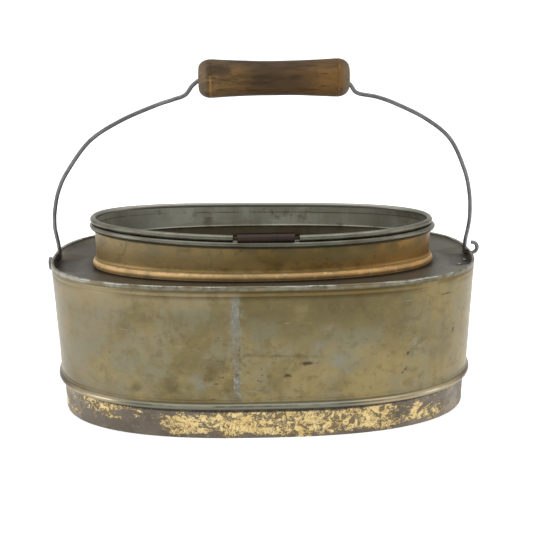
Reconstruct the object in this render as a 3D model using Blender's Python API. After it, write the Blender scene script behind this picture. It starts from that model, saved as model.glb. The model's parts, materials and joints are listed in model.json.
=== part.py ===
"""Oval tin carrying pail with a wire bail, a turned wooden grip and what is left of a lid hinge.

Blender 4.5 script. Units are metres, +Z is up. The origin is the middle of the underside,
X runs along the oval's length and -Y is the front, where the hinge is.
"""
import math

import bmesh
import bpy
from mathutils import Vector

MM = 0.001

# ---------------------------------------------------------------- driving dimensions
GAP = 0.3 * MM              # between pieces that touch
SHEET = 0.6 * MM            # tinplate of the shoulder, collar and rim
BODY_SHEET = 0.7 * MM       # tinplate of the body wall and the base band
RING_STEPS = 60             # points round each oval

# Ovals are superellipses: half length, half depth, power.
BODY_OVAL = (149.7 * MM, 80.7 * MM, 2.65)       # outside of the body's top edge
RIM_OVAL = (120.4 * MM, 49.0 * MM, 2.20)        # line of the wire in the rim

BASE_TOP_Z = 30.0 * MM      # upper edge of the base band, hidden in the body
BEAD_Z = 23.9 * MM          # middle of the body's lower bead
EDGE_Z = 108.5 * MM         # highest line of the body's top edge
PLATE_Z = 101.6 * MM        # shoulder plate where it meets the collar
LOWER_BEAD_Z = 127.0 * MM   # lower bead of the rim
RIM_Z = 131.9 * MM          # rim wire and the rolled bead round it

WIRE_R = 1.4 * MM           # bail wire
PIVOT_Z = 105.4 * MM        # holes that the bail's ends turn in
PIVOT_HOLE_R = 1.75 * MM
GRIP_Z = 231.3 * MM         # axis of the grip
GRIP_LEFT_X = -42.9 * MM
GRIP_RIGHT_X = 59.6 * MM
GRIP_END_R = 12.95 * MM
GRIP_WAIST_R = 11.6 * MM
GRIP_BORE_R = 2.2 * MM
GRIP_FLARE_R = 6.4 * MM

RIM_WIRE_R = 0.75 * MM
SLEEVE_X = (-18.2 * MM, 19.8 * MM)      # hinge sleeve along the rim wire
SLEEVE_R = 2.85 * MM
SLEEVE_BORE_R = 1.6 * MM
SLEEVE_LIP_R = 3.9 * MM                 # torn edge where the lid's leaf began
SLEEVE_LIP_DEG = 55.0                   # lip above horizontal, on the pail's side
NOTCH_X = (-21.2 * MM, 23.3 * MM)       # where the rim is cut away for the sleeve

SEAM_X = -20.0 * MM
SEAM_WIDTH = 7.0 * MM
RIVET_SPOTS = ((144.9 * MM, -7.0 * MM), (138.4 * MM, -18.0 * MM))


# ---------------------------------------------------------------- helpers
def clear_scene():
    for item in list(bpy.data.objects):
        bpy.data.objects.remove(item, do_unlink=True)


def material(name, color, roughness, metallic):
    mat = bpy.data.materials.new(name)
    mat.use_nodes = True
    shader = mat.node_tree.nodes["Principled BSDF"]
    shader.inputs["Base Color"].default_value = (*color, 1.0)
    shader.inputs["Roughness"].default_value = roughness
    shader.inputs["Metallic"].default_value = metallic
    return mat


def add_object(name, mesh, mat, origin=Vector((0.0, 0.0, 0.0)), parent=None):
    """Place a mesh made in world coordinates as an object with its origin at a point."""
    for vertex in mesh.vertices:
        vertex.co -= origin
    mesh.materials.append(mat)
    mesh.shade_smooth()
    mesh.set_sharp_from_angle(angle=math.radians(35.0))
    item = bpy.data.objects.new(name, mesh)
    bpy.context.scene.collection.objects.link(item)
    if parent:
        item.parent = parent
        item.location = origin - parent.location
    else:
        item.location = origin
    return item


def finish_mesh(name, bm):
    bmesh.ops.recalc_face_normals(bm, faces=bm.faces)
    mesh = bpy.data.meshes.new(name)
    bm.to_mesh(mesh)
    bm.free()
    return mesh


def oval_points(oval, count=RING_STEPS):
    """Points spaced evenly along a superellipse from +X, each with its outward normal."""
    half_length, half_depth, power = oval
    fine = count * 24
    dense = []
    for i in range(fine + 1):
        t = 2.0 * math.pi * i / fine
        c, s = math.cos(t), math.sin(t)
        x = math.copysign(half_length * abs(c) ** (2.0 / power), c)
        y = math.copysign(half_depth * abs(s) ** (2.0 / power), s)
        dense.append(Vector((x, y)))
    run = [0.0]
    for a, b in zip(dense, dense[1:]):
        run.append(run[-1] + (b - a).length)
    points = []
    k = 0
    for i in range(count):
        goal = run[-1] * i / count
        while run[k + 1] < goal:
            k += 1
        part = (goal - run[k]) / (run[k + 1] - run[k])
        p = dense[k].lerp(dense[k + 1], part)
        points.append((p, oval_normal(oval, p)))
    return points


def oval_normal(oval, p):
    half_length, half_depth, power = oval
    nx = math.copysign(abs(p.x / half_length) ** (power - 1.0) / half_length, p.x)
    ny = math.copysign(abs(p.y / half_depth) ** (power - 1.0) / half_depth, p.y)
    return Vector((nx, ny)).normalized()


def arc(offset, z, radius, start_deg, end_deg, steps):
    """Points of a profile along an arc, as (offset, z)."""
    points = []
    for i in range(steps + 1):
        a = math.radians(start_deg + (end_deg - start_deg) * i / steps)
        points.append((offset + radius * math.cos(a), z + radius * math.sin(a)))
    return points


def sheet_section(middle, thickness):
    """Closed cross-section of a bent sheet, from the line along the middle of its thickness."""
    left, right = [], []
    for i, point in enumerate(middle):
        before = Vector(middle[max(i - 1, 0)])
        after = Vector(middle[min(i + 1, len(middle) - 1)])
        here = Vector(point)
        into = (here - before).normalized() if i else (after - here).normalized()
        out = (after - here).normalized() if i < len(middle) - 1 else into
        mean = (into + out).normalized()
        side = Vector((-mean.y, mean.x))
        stretch = thickness / 2.0 / max(mean.dot(into), 0.5)
        left.append(here + side * stretch)
        right.append(here - side * stretch)
    return [tuple(p) for p in left] + [tuple(p) for p in reversed(right)]


def ring_mesh(name, section):
    """Sweep a closed section round the ovals. Its points are (oval, offset, z)."""
    bm = bmesh.new()
    lines = {}
    for oval, _, _ in section:
        lines.setdefault(oval, oval_points(oval))
    rings = []
    for oval, offset, z in section:
        ring = []
        for p, normal in lines[oval]:
            q = p + normal * offset
            ring.append(bm.verts.new((q.x, q.y, z)))
        rings.append(ring)
    for a, b in zip(rings, rings[1:] + rings[:1]):
        for i in range(RING_STEPS):
            j = (i + 1) % RING_STEPS
            bm.faces.new((a[i], a[j], b[j], b[i]))
    return finish_mesh(name, bm)


def on_oval(oval, section):
    return [(oval, offset, z) for offset, z in section]


def lathe_mesh(name, profile, origin, axis, steps):
    """Turn a closed profile of (distance along the axis, radius) about an axis, X or Z."""
    bm = bmesh.new()
    rings = []
    for along, radius in profile:
        ring = []
        for i in range(steps):
            a = 2.0 * math.pi * i / steps
            u, v = radius * math.cos(a), radius * math.sin(a)
            place = (along, u, v) if axis == "X" else (u, v, along)
            ring.append(bm.verts.new(origin + Vector(place)))
        rings.append(ring)
    for a, b in zip(rings, rings[1:] + rings[:1]):
        for i in range(steps):
            j = (i + 1) % steps
            bm.faces.new((a[i], a[j], b[j], b[i]))
    return finish_mesh(name, bm)


def smooth_path(points, steps):
    """Catmull-Rom curve through points, with the same number of steps in each stretch."""
    path = []
    ends = [points[0] * 2.0 - points[1]] + list(points) + [points[-1] * 2.0 - points[-2]]
    for a, b, c, d in zip(ends, ends[1:], ends[2:], ends[3:]):
        for i in range(steps):
            t = i / steps
            path.append(0.5 * (2.0 * b + (c - a) * t + (2.0 * a - 5.0 * b + 4.0 * c - d) * t ** 2
                               + (3.0 * b - a - 3.0 * c + d) * t ** 3))
    path.append(points[-1])
    return path


def tube_mesh(name, path, radius, sides, closed=False):
    """Round bar along a path; its section is carried along without twist."""
    bm = bmesh.new()
    rings = []
    count = len(path)
    side = None
    for i, here in enumerate(path):
        before = path[i - 1] if i or closed else here
        after = path[(i + 1) % count] if i < count - 1 or closed else here
        along = (after - before).normalized()
        if side is None:
            side = along.orthogonal().normalized()
            if closed:
                side = Vector((0.0, 0.0, 1.0))
        side = (side - along * side.dot(along)).normalized()
        up = along.cross(side)
        ring = []
        for k in range(sides):
            a = 2.0 * math.pi * (k + 0.5) / sides
            ring.append(bm.verts.new(here + (side * math.cos(a) + up * math.sin(a)) * radius))
        rings.append(ring)
    pairs = list(zip(rings, rings[1:]))
    if closed:
        pairs.append((rings[-1], rings[0]))
    else:
        bm.faces.new(rings[0])
        bm.faces.new(rings[-1])
    for a, b in pairs:
        for k in range(sides):
            m = (k + 1) % sides
            bm.faces.new((a[k], a[m], b[m], b[k]))
    return finish_mesh(name, bm)


def cut(item, cutters):
    """Take cutters away from an object with Booleans, and hide the cutters."""
    for tool in cutters:
        modifier = item.modifiers.new("cut_" + tool.name, "BOOLEAN")
        modifier.operation = "DIFFERENCE"
        modifier.solver = "EXACT"
        modifier.object = tool
        tool.hide_render = True
        tool.display_type = "WIRE"


def bar_cutter(name, start, end, radius, steps):
    """Round bar between two points, used to cut a hole."""
    mesh = tube_mesh(name, [start, end], radius, steps)
    return add_object(name, mesh, MATERIALS["cutter"])


def box_cutter(name, low, high):
    bm = bmesh.new()
    bmesh.ops.create_cube(bm, size=1.0)
    for vertex in bm.verts:
        for k in range(3):
            vertex.co[k] = low[k] if vertex.co[k] < 0.0 else high[k]
    return add_object(name, finish_mesh(name, bm), MATERIALS["cutter"])


# ---------------------------------------------------------------- body and base
def make_bottom_plate():
    """Flat pan whose turned-up edge is soldered inside the base band."""
    outer = -(2.8 * MM + BODY_SHEET + GAP)
    inner = outer - SHEET
    floor = 0.8 * MM
    bm = bmesh.new()
    rings = []
    for offset, z in ((outer, 0.0), (outer, 5.0 * MM), (inner, 5.0 * MM), (inner, floor)):
        ring = []
        for p, normal in oval_points(BODY_OVAL):
            q = p + normal * offset
            ring.append(bm.verts.new((q.x, q.y, z)))
        rings.append(ring)
    for a, b in zip(rings, rings[1:]):
        for i in range(RING_STEPS):
            j = (i + 1) % RING_STEPS
            bm.faces.new((a[i], a[j], b[j], b[i]))
    bm.faces.new(rings[0])
    bm.faces.new(rings[-1])
    add_object("bottom_plate", finish_mesh("bottom_plate", bm), MATERIALS["rusty_tin"])


def make_base_band():
    """Plain oval band under the body, set back from the body's lower bead."""
    face = -2.8 * MM
    back = face - BODY_SHEET
    section = [(face, 0.0), (face, BASE_TOP_Z), (back, BASE_TOP_Z), (back, 0.0)]
    mesh = ring_mesh("base_band", on_oval(BODY_OVAL, section))
    add_object("base_band", mesh, MATERIALS["flaked_paint"])


def make_body_wall(pivot_cutters):
    """Oval wall: a lower bead, a slight flare upwards and a joggled top edge."""
    middle = [
        (-2.0 * MM, BEAD_Z - 2.0 * MM),
        (-0.9 * MM, BEAD_Z - 2.0 * MM),
        (-0.15 * MM, BEAD_Z),
        (-0.9 * MM, BEAD_Z + 2.0 * MM),
        (-2.15 * MM, BEAD_Z + 3.5 * MM),
        (-1.05 * MM, EDGE_Z - 8.5 * MM),
        (-0.35 * MM, EDGE_Z - 7.2 * MM),
        (-0.35 * MM, EDGE_Z - 0.9 * MM),
    ]
    section = sheet_section(middle, BODY_SHEET)
    mesh = ring_mesh("body_wall", on_oval(BODY_OVAL, section))
    wall = add_object("body_wall", mesh, MATERIALS["brown_tin"])
    cut(wall, pivot_cutters)


def make_seam_solder():
    """Thin strip of solder over the lap seam on the front of the body wall."""
    half_length, half_depth, power = BODY_OVAL
    foot, head = BEAD_Z + 6.0 * MM, EDGE_Z - 10.0 * MM
    thickness = 0.45 * MM
    bm = bmesh.new()
    columns = []
    for step in (-1.0, 0.0, 1.0):
        x = SEAM_X + step * SEAM_WIDTH / 2.0
        y = -half_depth * (1.0 - abs(x / half_length) ** power) ** (1.0 / power)
        normal = oval_normal(BODY_OVAL, Vector((x, y)))
        column = []
        for z, wall_face in ((foot, -1.75 * MM), (head, -0.7 * MM)):
            for out in (GAP, GAP + thickness):
                q = Vector((x, y)) + normal * (wall_face + out)
                column.append(bm.verts.new((q.x, q.y, z)))
        columns.append(column)
    for a, b in zip(columns, columns[1:]):
        for i, j in ((0, 1), (1, 3), (3, 2), (2, 0)):
            bm.faces.new((a[i], a[j], b[j], b[i]))
    for column in (columns[0], columns[-1]):
        bm.faces.new((column[0], column[1], column[3], column[2]))
    add_object("seam_solder", finish_mesh("seam_solder", bm), MATERIALS["solder"])


# ---------------------------------------------------------------- shoulder and collar
def make_shoulder_plate(cutters):
    """Sunken plate, turned up inside the body's edge and up inside the collar."""
    edge_face = -(BODY_SHEET + GAP)
    collar_face = -1.6 * MM
    flange_top = EDGE_Z - 0.9 * MM
    rise = 0.4 * MM
    section = [
        (BODY_OVAL, edge_face, flange_top),
        (BODY_OVAL, edge_face - SHEET, flange_top),
        (BODY_OVAL, edge_face - SHEET, PLATE_Z + rise),
        (RIM_OVAL, collar_face, PLATE_Z),
        (RIM_OVAL, collar_face, PLATE_Z + 3.7 * MM),
        (RIM_OVAL, collar_face - SHEET, PLATE_Z + 3.7 * MM),
        (RIM_OVAL, collar_face - SHEET, PLATE_Z - SHEET),
        (BODY_OVAL, edge_face, PLATE_Z + rise - SHEET),
    ]
    mesh = ring_mesh("shoulder_plate", section)
    plate = add_object("shoulder_plate", mesh, MATERIALS["dark_tin"])
    cut(plate, cutters)


def make_edge_solder():
    """Bead of solder that closes the joint on top of the body's edge."""
    foot = EDGE_Z - 0.6 * MM
    section = [
        (-1.65 * MM, foot),
        (0.1 * MM, foot),
        (0.1 * MM, EDGE_Z - 0.3 * MM),
        (-0.4 * MM, EDGE_Z),
        (-1.2 * MM, EDGE_Z),
        (-1.65 * MM, EDGE_Z - 0.3 * MM),
    ]
    mesh = ring_mesh("edge_solder", on_oval(BODY_OVAL, section))
    add_object("edge_solder", mesh, MATERIALS["solder"])


def make_collar_wall():
    """Band round the mouth with a bead at its foot, standing on the shoulder plate."""
    foot = PLATE_Z + GAP
    middle = [
        (-1.0 * MM, LOWER_BEAD_Z - 2.2 * MM),
        (-1.0 * MM, foot + 5.9 * MM),
        (-0.3 * MM, foot + 5.1 * MM),
        (1.0 * MM, foot + 4.5 * MM),
        (1.65 * MM, foot + 2.9 * MM),
        (1.65 * MM, foot),
    ]
    section = sheet_section(middle, SHEET)
    mesh = ring_mesh("collar_wall", on_oval(RIM_OVAL, section))
    add_object("collar_wall", mesh, MATERIALS["golden_tin"])


def make_rim_band(notch):
    """Inner band of the mouth: a skirt, a lower bead and an upper bead rolled round a wire."""
    skirt = -1.9 * MM
    middle = [(skirt, 116.0 * MM), (skirt, LOWER_BEAD_Z - 2.0 * MM)]
    middle += arc(0.0, LOWER_BEAD_Z, 1.35 * MM, -125.0, 125.0, 4)
    middle += [(-1.45 * MM, LOWER_BEAD_Z + 1.75 * MM), (-1.45 * MM, RIM_Z - 0.9 * MM)]
    middle += arc(0.0, RIM_Z, 1.45 * MM, 170.0, -95.0, 6)
    section = sheet_section(middle, SHEET)
    mesh = ring_mesh("rim_band", on_oval(RIM_OVAL, section))
    band = add_object("rim_band", mesh, MATERIALS["grey_tin"])
    cut(band, [notch])


def make_rim_wire():
    """Wire inside the rolled rim, bare where the rim is cut away for the hinge."""
    path = [Vector((p.x, p.y, RIM_Z)) for p, _ in oval_points(RIM_OVAL)]
    mesh = tube_mesh("rim_wire", path, RIM_WIRE_R, 6, closed=True)
    add_object("rim_wire", mesh, MATERIALS["wire"])


def make_rivets():
    """Two small rivets through the shoulder plate beside the right-hand bail hole."""
    profile = [
        (-1.9 * MM, 0.01 * MM), (-1.9 * MM, 1.2 * MM), (-1.25 * MM, 1.6 * MM),
        (-1.05 * MM, 0.8 * MM), (0.65 * MM, 0.8 * MM), (0.75 * MM, 1.7 * MM),
        (1.4 * MM, 1.1 * MM), (1.6 * MM, 0.01 * MM),
    ]
    for index, (x, y) in enumerate(RIVET_SPOTS, start=1):
        name = f"shoulder_rivet_{index}"
        mesh = lathe_mesh(name, profile, Vector((x, y, PLATE_Z)), "Z", 10)
        add_object(name, mesh, MATERIALS["solder"])


# ---------------------------------------------------------------- moving pieces
def bail_path():
    """Line of the bail wire, from the hook at the left end to the hook at the right end."""
    bend = 1.6 * MM                 # least radius that the wire is bent to
    inside = 146.1 * MM             # the wire stands just inside the raised edge
    outside = 151.6 * MM
    curl = 3.9 * MM
    axis = PIVOT_Z

    def in_plane(*pairs):
        return [Vector((x * MM, 0.0, z * MM)) for x, z in pairs]

    def quarter(center_x, center_z, start_deg, end_deg, radius=bend, steps=4):
        turn = []
        for i in range(steps + 1):
            a = math.radians(start_deg + (end_deg - start_deg) * i / steps)
            turn.append(Vector((center_x + radius * math.cos(a), 0.0, center_z + radius * math.sin(a))))
        return turn

    # Left hook: out through the hole, down, and curled forwards flat against the wall.
    left_hook = list(reversed(flat_curl(-outside, axis - bend, curl)))
    left_hook += quarter(-outside + bend, axis - bend, 180.0, 90.0)
    left_hook += quarter(-inside - bend, axis + bend, -90.0, 0.0)
    left_shank = in_plane((-146.1, 113.0), (-146.5, 117.5), (-147.3, 123.0), (-148.0, 130.0),
                          (-147.0, 141.0), (-143.4, 155.0), (-136.0, 169.1), (-119.2, 190.0),
                          (-97.2, 203.6), (-73.1, 213.6), (-61.0, 217.5), (-52.4, 220.6),
                          (-46.6, 227.4))
    through_grip = in_plane((-39.0, 231.3), (-20.0, 231.3), (5.0, 231.3), (30.0, 231.3), (52.5, 231.3))
    right_shank = in_plane((60.2, 226.8), (65.5, 220.8), (79.0, 218.0), (93.1, 212.9),
                           (114.0, 202.5), (131.4, 188.5), (142.5, 167.2), (147.2, 150.0),
                           (148.5, 134.0), (147.7, 124.0), (146.6, 117.5), (146.1, 113.0))
    right_hook = quarter(inside + bend, axis + bend, 180.0, 270.0)
    right_hook += quarter(151.3 * MM, axis + curl, -90.0, 100.0, radius=curl, steps=10)

    middle = [left_hook[-1]] + left_shank + through_grip + right_shank + [right_hook[0]]
    return left_hook[:-1] + smooth_path(middle, 2) + right_hook[1:]


def flat_curl(x, z, radius):
    """Open curl in a plane across X, starting downwards from (x, 0, z) and turning forwards."""
    turn = []
    for i in range(1, 10):
        a = math.radians(28.0 * i)
        turn.append(Vector((x, -radius + radius * math.cos(a), z - radius * math.sin(a))))
    return turn


def make_bail(pivot):
    mesh = tube_mesh("bail_wire", bail_path(), WIRE_R, 8)
    add_object("bail_wire", mesh, MATERIALS["wire"], Vector(pivot.location), pivot)


def make_grip(pivot):
    """Turned grip: rounded ends, a slight waist and a bore that flares at both mouths."""
    length = GRIP_RIGHT_X - GRIP_LEFT_X
    rounding = 8.0 * MM
    face_r = 8.4 * MM
    flare = 9.5 * MM
    outside = [(0.0, face_r)]
    for i in range(1, 5):
        a = math.radians(90.0 * i / 4)
        outside.append((rounding * (1.0 - math.cos(a)),
                        face_r + (GRIP_END_R - face_r) * math.sin(a)))
    for part in (0.25, 0.5, 0.75):
        along = rounding + (length - 2.0 * rounding) * part
        dip = (GRIP_END_R - GRIP_WAIST_R) * (1.0 - (2.0 * part - 1.0) ** 2)
        outside.append((along, GRIP_END_R - dip))
    far_end = [(length - along, radius) for along, radius in reversed(outside[:5])]
    bore = [(length, GRIP_FLARE_R), (length - flare, GRIP_BORE_R),
            (flare, GRIP_BORE_R), (0.0, GRIP_FLARE_R)]
    origin = Vector((GRIP_LEFT_X, 0.0, GRIP_Z))
    mesh = lathe_mesh("grip", outside + far_end + bore, origin, "X", 20)
    middle = Vector(((GRIP_LEFT_X + GRIP_RIGHT_X) / 2.0, 0.0, GRIP_Z))
    add_object("grip", mesh, MATERIALS["wood"], middle, pivot)


def make_hinge_sleeve():
    """Rolled sleeve of the lost lid's hinge, free to turn on the bare rim wire."""
    axis_y = 0.1 * MM - RIM_OVAL[1]
    angles = [0.0, 25.0, 47.0, 52.0, 58.0, 63.0] + [63.0 + 297.0 * i / 12 for i in range(1, 12)]
    bm = bmesh.new()
    loops = []
    for x in SLEEVE_X:
        for bore in (False, True):
            loop = []
            for degrees in angles:
                at_lip = abs(degrees - SLEEVE_LIP_DEG) < 4.0
                radius = SLEEVE_LIP_R if at_lip else SLEEVE_R
                radius = SLEEVE_BORE_R if bore else radius
                a = math.radians(degrees)
                place = (x, axis_y + radius * math.cos(a), RIM_Z + radius * math.sin(a))
                loop.append(bm.verts.new(place))
            loops.append(loop)
    near_out, near_in, far_out, far_in = loops
    for a, b in ((near_out, far_out), (near_in, far_in), (near_out, near_in), (far_out, far_in)):
        for i in range(len(angles)):
            j = (i + 1) % len(angles)
            bm.faces.new((a[i], a[j], b[j], b[i]))
    origin = Vector(((SLEEVE_X[0] + SLEEVE_X[1]) / 2.0, axis_y, RIM_Z))
    add_object("hinge_sleeve", finish_mesh("hinge_sleeve", bm), MATERIALS["rusty_tin"], origin)


# ---------------------------------------------------------------- assembly
clear_scene()

MATERIALS = {
    "brown_tin": material("brown_tin", (0.26, 0.21, 0.11), 0.42, 0.7),
    "golden_tin": material("golden_tin", (0.22, 0.16, 0.06), 0.38, 0.7),
    "grey_tin": material("grey_tin", (0.20, 0.20, 0.17), 0.40, 0.8),
    "dark_tin": material("dark_tin", (0.09, 0.085, 0.075), 0.55, 0.6),
    "rusty_tin": material("rusty_tin", (0.09, 0.05, 0.035), 0.70, 0.3),
    "flaked_paint": material("flaked_paint", (0.45, 0.32, 0.13), 0.65, 0.0),
    "solder": material("solder", (0.38, 0.38, 0.34), 0.45, 0.8),
    "wire": material("wire", (0.16, 0.16, 0.16), 0.45, 0.8),
    "wood": material("wood", (0.13, 0.07, 0.03), 0.45, 0.0),
    "cutter": material("cutter", (0.8, 0.1, 0.1), 0.5, 0.0),
}

bail_pivot = bpy.data.objects.new("bail_pivot", None)
bail_pivot.location = (0.0, 0.0, PIVOT_Z)
bpy.context.scene.collection.objects.link(bail_pivot)

hole_cutters = []
for side in (-1.0, 1.0):
    hole_start = Vector((side * 144.0 * MM, 0.0, PIVOT_Z))
    hole_end = Vector((side * 154.0 * MM, 0.0, PIVOT_Z))
    hole_name = "left_hole_cutter" if side < 0.0 else "right_hole_cutter"
    hole_cutters.append(bar_cutter(hole_name, hole_start, hole_end, PIVOT_HOLE_R, 12))
rivet_cutters = []
for number, (spot_x, spot_y) in enumerate(RIVET_SPOTS, start=1):
    below = Vector((spot_x, spot_y, PLATE_Z - 3.0 * MM))
    above = Vector((spot_x, spot_y, PLATE_Z + 3.0 * MM))
    rivet_cutters.append(bar_cutter(f"rivet_hole_cutter_{number}", below, above, 1.15 * MM, 10))
rim_notch = box_cutter("rim_notch_cutter",
                       (NOTCH_X[0], -60.0 * MM, LOWER_BEAD_Z + 1.66 * MM),
                       (NOTCH_X[1], -40.0 * MM, RIM_Z + 10.0 * MM))

make_bottom_plate()
make_base_band()
make_body_wall(hole_cutters)
make_seam_solder()
make_shoulder_plate(hole_cutters + rivet_cutters)
make_edge_solder()
make_collar_wall()
make_rim_band(rim_notch)
make_rim_wire()
make_rivets()
make_bail(bail_pivot)
make_grip(bail_pivot)
make_hinge_sleeve()
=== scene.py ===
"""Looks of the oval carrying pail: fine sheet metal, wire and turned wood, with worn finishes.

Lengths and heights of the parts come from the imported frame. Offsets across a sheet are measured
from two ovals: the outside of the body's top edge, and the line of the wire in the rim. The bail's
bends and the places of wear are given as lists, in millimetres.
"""
import json
import math

import bmesh
import bpy
from mathutils import Matrix, Vector, noise


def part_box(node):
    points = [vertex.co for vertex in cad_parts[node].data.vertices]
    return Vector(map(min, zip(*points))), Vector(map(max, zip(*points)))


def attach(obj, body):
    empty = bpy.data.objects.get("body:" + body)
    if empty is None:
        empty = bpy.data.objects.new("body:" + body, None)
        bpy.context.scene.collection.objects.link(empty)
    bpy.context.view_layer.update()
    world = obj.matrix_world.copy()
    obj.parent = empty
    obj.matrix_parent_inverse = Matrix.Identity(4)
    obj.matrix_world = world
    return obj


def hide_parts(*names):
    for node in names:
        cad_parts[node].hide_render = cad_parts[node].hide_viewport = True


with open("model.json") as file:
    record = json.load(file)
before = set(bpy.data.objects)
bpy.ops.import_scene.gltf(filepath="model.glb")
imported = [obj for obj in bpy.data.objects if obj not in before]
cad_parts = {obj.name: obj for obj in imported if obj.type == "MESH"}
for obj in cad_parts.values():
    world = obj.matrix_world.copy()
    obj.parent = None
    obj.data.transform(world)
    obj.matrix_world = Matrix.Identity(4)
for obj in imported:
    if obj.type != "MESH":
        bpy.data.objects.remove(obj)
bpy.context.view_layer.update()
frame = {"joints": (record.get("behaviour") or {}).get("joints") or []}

# ---------------------------------------------------------------- sizes from the frame
MM = 0.001
RING_STEPS = 360            # points round each oval
SHEET = 0.45 * MM

EDGE_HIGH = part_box("edge_solder")[1]
WIRE_LOW, WIRE_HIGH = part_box("rim_wire")
COLLAR_LOW, COLLAR_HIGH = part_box("collar_wall")
BODY_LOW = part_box("body_wall")[0]
BASE_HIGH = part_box("base_band")[1]
PLATE_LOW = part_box("shoulder_plate")[0]
SKIRT_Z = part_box("rim_band")[0].z
GRIP_LOW, GRIP_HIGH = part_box("grip")
SLEEVE_LOW, SLEEVE_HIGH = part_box("hinge_sleeve")
JOINT_AT = {joint["name"]: Vector(joint["pos_m"]) for joint in frame["joints"]}

RIM_WIRE_R = 0.75 * MM
SOLDER_PROUD = 0.1 * MM     # how far the edge's solder stands outside the body's oval
# Ovals: half length, half depth, and the powers of their front and back halves.
BODY_OVAL = (EDGE_HIGH.x - SOLDER_PROUD, EDGE_HIGH.y - SOLDER_PROUD, 2.71, 2.6)
BASE_OVAL = (BODY_OVAL[0], BODY_OVAL[1], 2.48, 2.42)
RIM_OVAL = (WIRE_HIGH.x - RIM_WIRE_R, WIRE_HIGH.y - RIM_WIRE_R, 2.12, 2.3)

EDGE_Z = EDGE_HIGH.z
PLATE_Z = PLATE_LOW.z + 0.6 * MM
RIM_Z = (WIRE_LOW.z + WIRE_HIGH.z) / 2
LOWER_BEAD_Z = RIM_Z - 4.9 * MM
BODY_BEAD_Z = BODY_LOW.z + 2.35 * MM
PIVOT_Z = JOINT_AT["bail_swing"].z
GRIP_Z = JOINT_AT["grip_spin"].z
SLEEVE_AT = JOINT_AT["sleeve_turn"]
NOTCH_X = (SLEEVE_LOW.x - 3 * MM, SLEEVE_HIGH.x + 3.5 * MM)

SEAM_X = sum(corner.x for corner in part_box("seam_solder")) / 2
BAIL_WIRE_R = 1.4 * MM
PIVOT_HOLE_R = 1.75 * MM
RIVETS = ("shoulder_rivet_1", "shoulder_rivet_2")
ALONG, ACROSS, UP = (1, 0, 0), (0, 1, 0), (0, 0, 1)


# ---------------------------------------------------------------- mesh helpers
def ease(value, low, high):
    """0 below low, 1 above high, and smooth between."""
    t = min(max((value - low) / (high - low), 0), 1)
    return t * t * (3 - 2 * t)


def oval_points(oval, count=RING_STEPS):
    """Points spaced evenly along a superellipse from +X, each with its outward normal."""
    half_length, half_depth = oval[:2]
    fine = count * 8
    dense = []
    for i in range(fine + 1):
        t = 2 * math.pi * i / fine
        c, s = math.cos(t), math.sin(t)
        power = oval[3] if s > 0 else oval[2]
        x = math.copysign(half_length * abs(c) ** (2 / power), c)
        y = math.copysign(half_depth * abs(s) ** (2 / power), s)
        dense.append(Vector((x, y)))
    run = [0]
    for a, b in zip(dense, dense[1:]):
        run.append(run[-1] + (b - a).length)
    points = []
    k = 0
    for i in range(count):
        goal = run[-1] * i / count
        while run[k + 1] < goal:
            k += 1
        p = dense[k].lerp(dense[k + 1], (goal - run[k]) / (run[k + 1] - run[k]))
        points.append((p, oval_normal(oval, p)))
    return points


def oval_normal(oval, p):
    half_length, half_depth = oval[:2]
    power = oval[3] if p.y > 0 else oval[2]
    nx = math.copysign(abs(p.x / half_length) ** (power - 1) / half_length, p.x)
    ny = math.copysign(abs(p.y / half_depth) ** (power - 1) / half_depth, p.y)
    return Vector((nx, ny)).normalized()


OVAL_LINES = {oval: oval_points(oval) for oval in (BODY_OVAL, BASE_OVAL, RIM_OVAL)}

# How the hand-made rings stray from level: rise towards both ends, its power, tilt and drop.
RIM_BOW = (2.2 * MM, 2, -1.6 * MM, -0.3 * MM)
EDGE_BOW = (0.7 * MM, 2, -0.55 * MM, 0)
BEAD_BOW = (3.4 * MM, 4, 0, 0)


def bow_height(bow, along):
    rise, power, tilt, drop = bow
    return rise * along ** power + tilt * along + drop


def settle(oval, p):
    """How far a ring strays from level at a point."""
    along = p.x / oval[0]
    if oval is RIM_OVAL:
        return ease(p.z, PLATE_Z + 6 * MM, LOWER_BEAD_Z) * bow_height(RIM_BOW, along)
    edge = ease(p.z, BODY_BEAD_Z + 3 * MM, EDGE_Z - 8 * MM)
    bead = ease(p.z, 0, BODY_BEAD_Z - 4 * MM) * (1 - edge)
    return bead * bow_height(BEAD_BOW, along) + edge * bow_height(EDGE_BOW, along)


def bumps(p, height, scale, shift=(0, 0, 0)):
    """Smooth noise of a height in millimetres and a scale per metre."""
    return height * MM * noise.noise(p * scale + Vector(shift))


def arc(offset, z, radius, start_deg, end_deg, steps):
    """Points of a profile along an arc, as (offset, z)."""
    points = []
    for i in range(steps + 1):
        a = math.radians(start_deg + (end_deg - start_deg) * i / steps)
        points.append((offset + radius * math.cos(a), z + radius * math.sin(a)))
    return points


def profile(base_z, *pairs):
    """Points of a profile from (offset, height above base_z) in millimetres."""
    return [(offset * MM, base_z + up * MM) for offset, up in pairs]


def refine(points, longest):
    """Split the long stretches of a profile, so that dents can bend them."""
    fine = [points[0]]
    for a, b in zip(points, points[1:]):
        parts = max(1, math.ceil(math.dist(a, b) / longest))
        for i in range(1, parts + 1):
            fine.append(tuple(u + (v - u) * i / parts for u, v in zip(a, b)))
    return fine


def back_of_sheet(face, thickness):
    """The other face of a bent sheet, on the left of the line that its first face follows."""
    back = []
    for i, point in enumerate(face):
        here = Vector(point)
        before = Vector(face[i - 1]) if i else here
        after = Vector(face[i + 1]) if i < len(face) - 1 else here
        into = (here - before).normalized() if i else (after - here).normalized()
        out = (after - here).normalized() if i < len(face) - 1 else into
        mean = (into + out).normalized()
        reach = thickness / max(mean.dot(into), 0.5)
        back.append(tuple(here + Vector((-mean.y, mean.x)) * reach))
    return back


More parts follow.
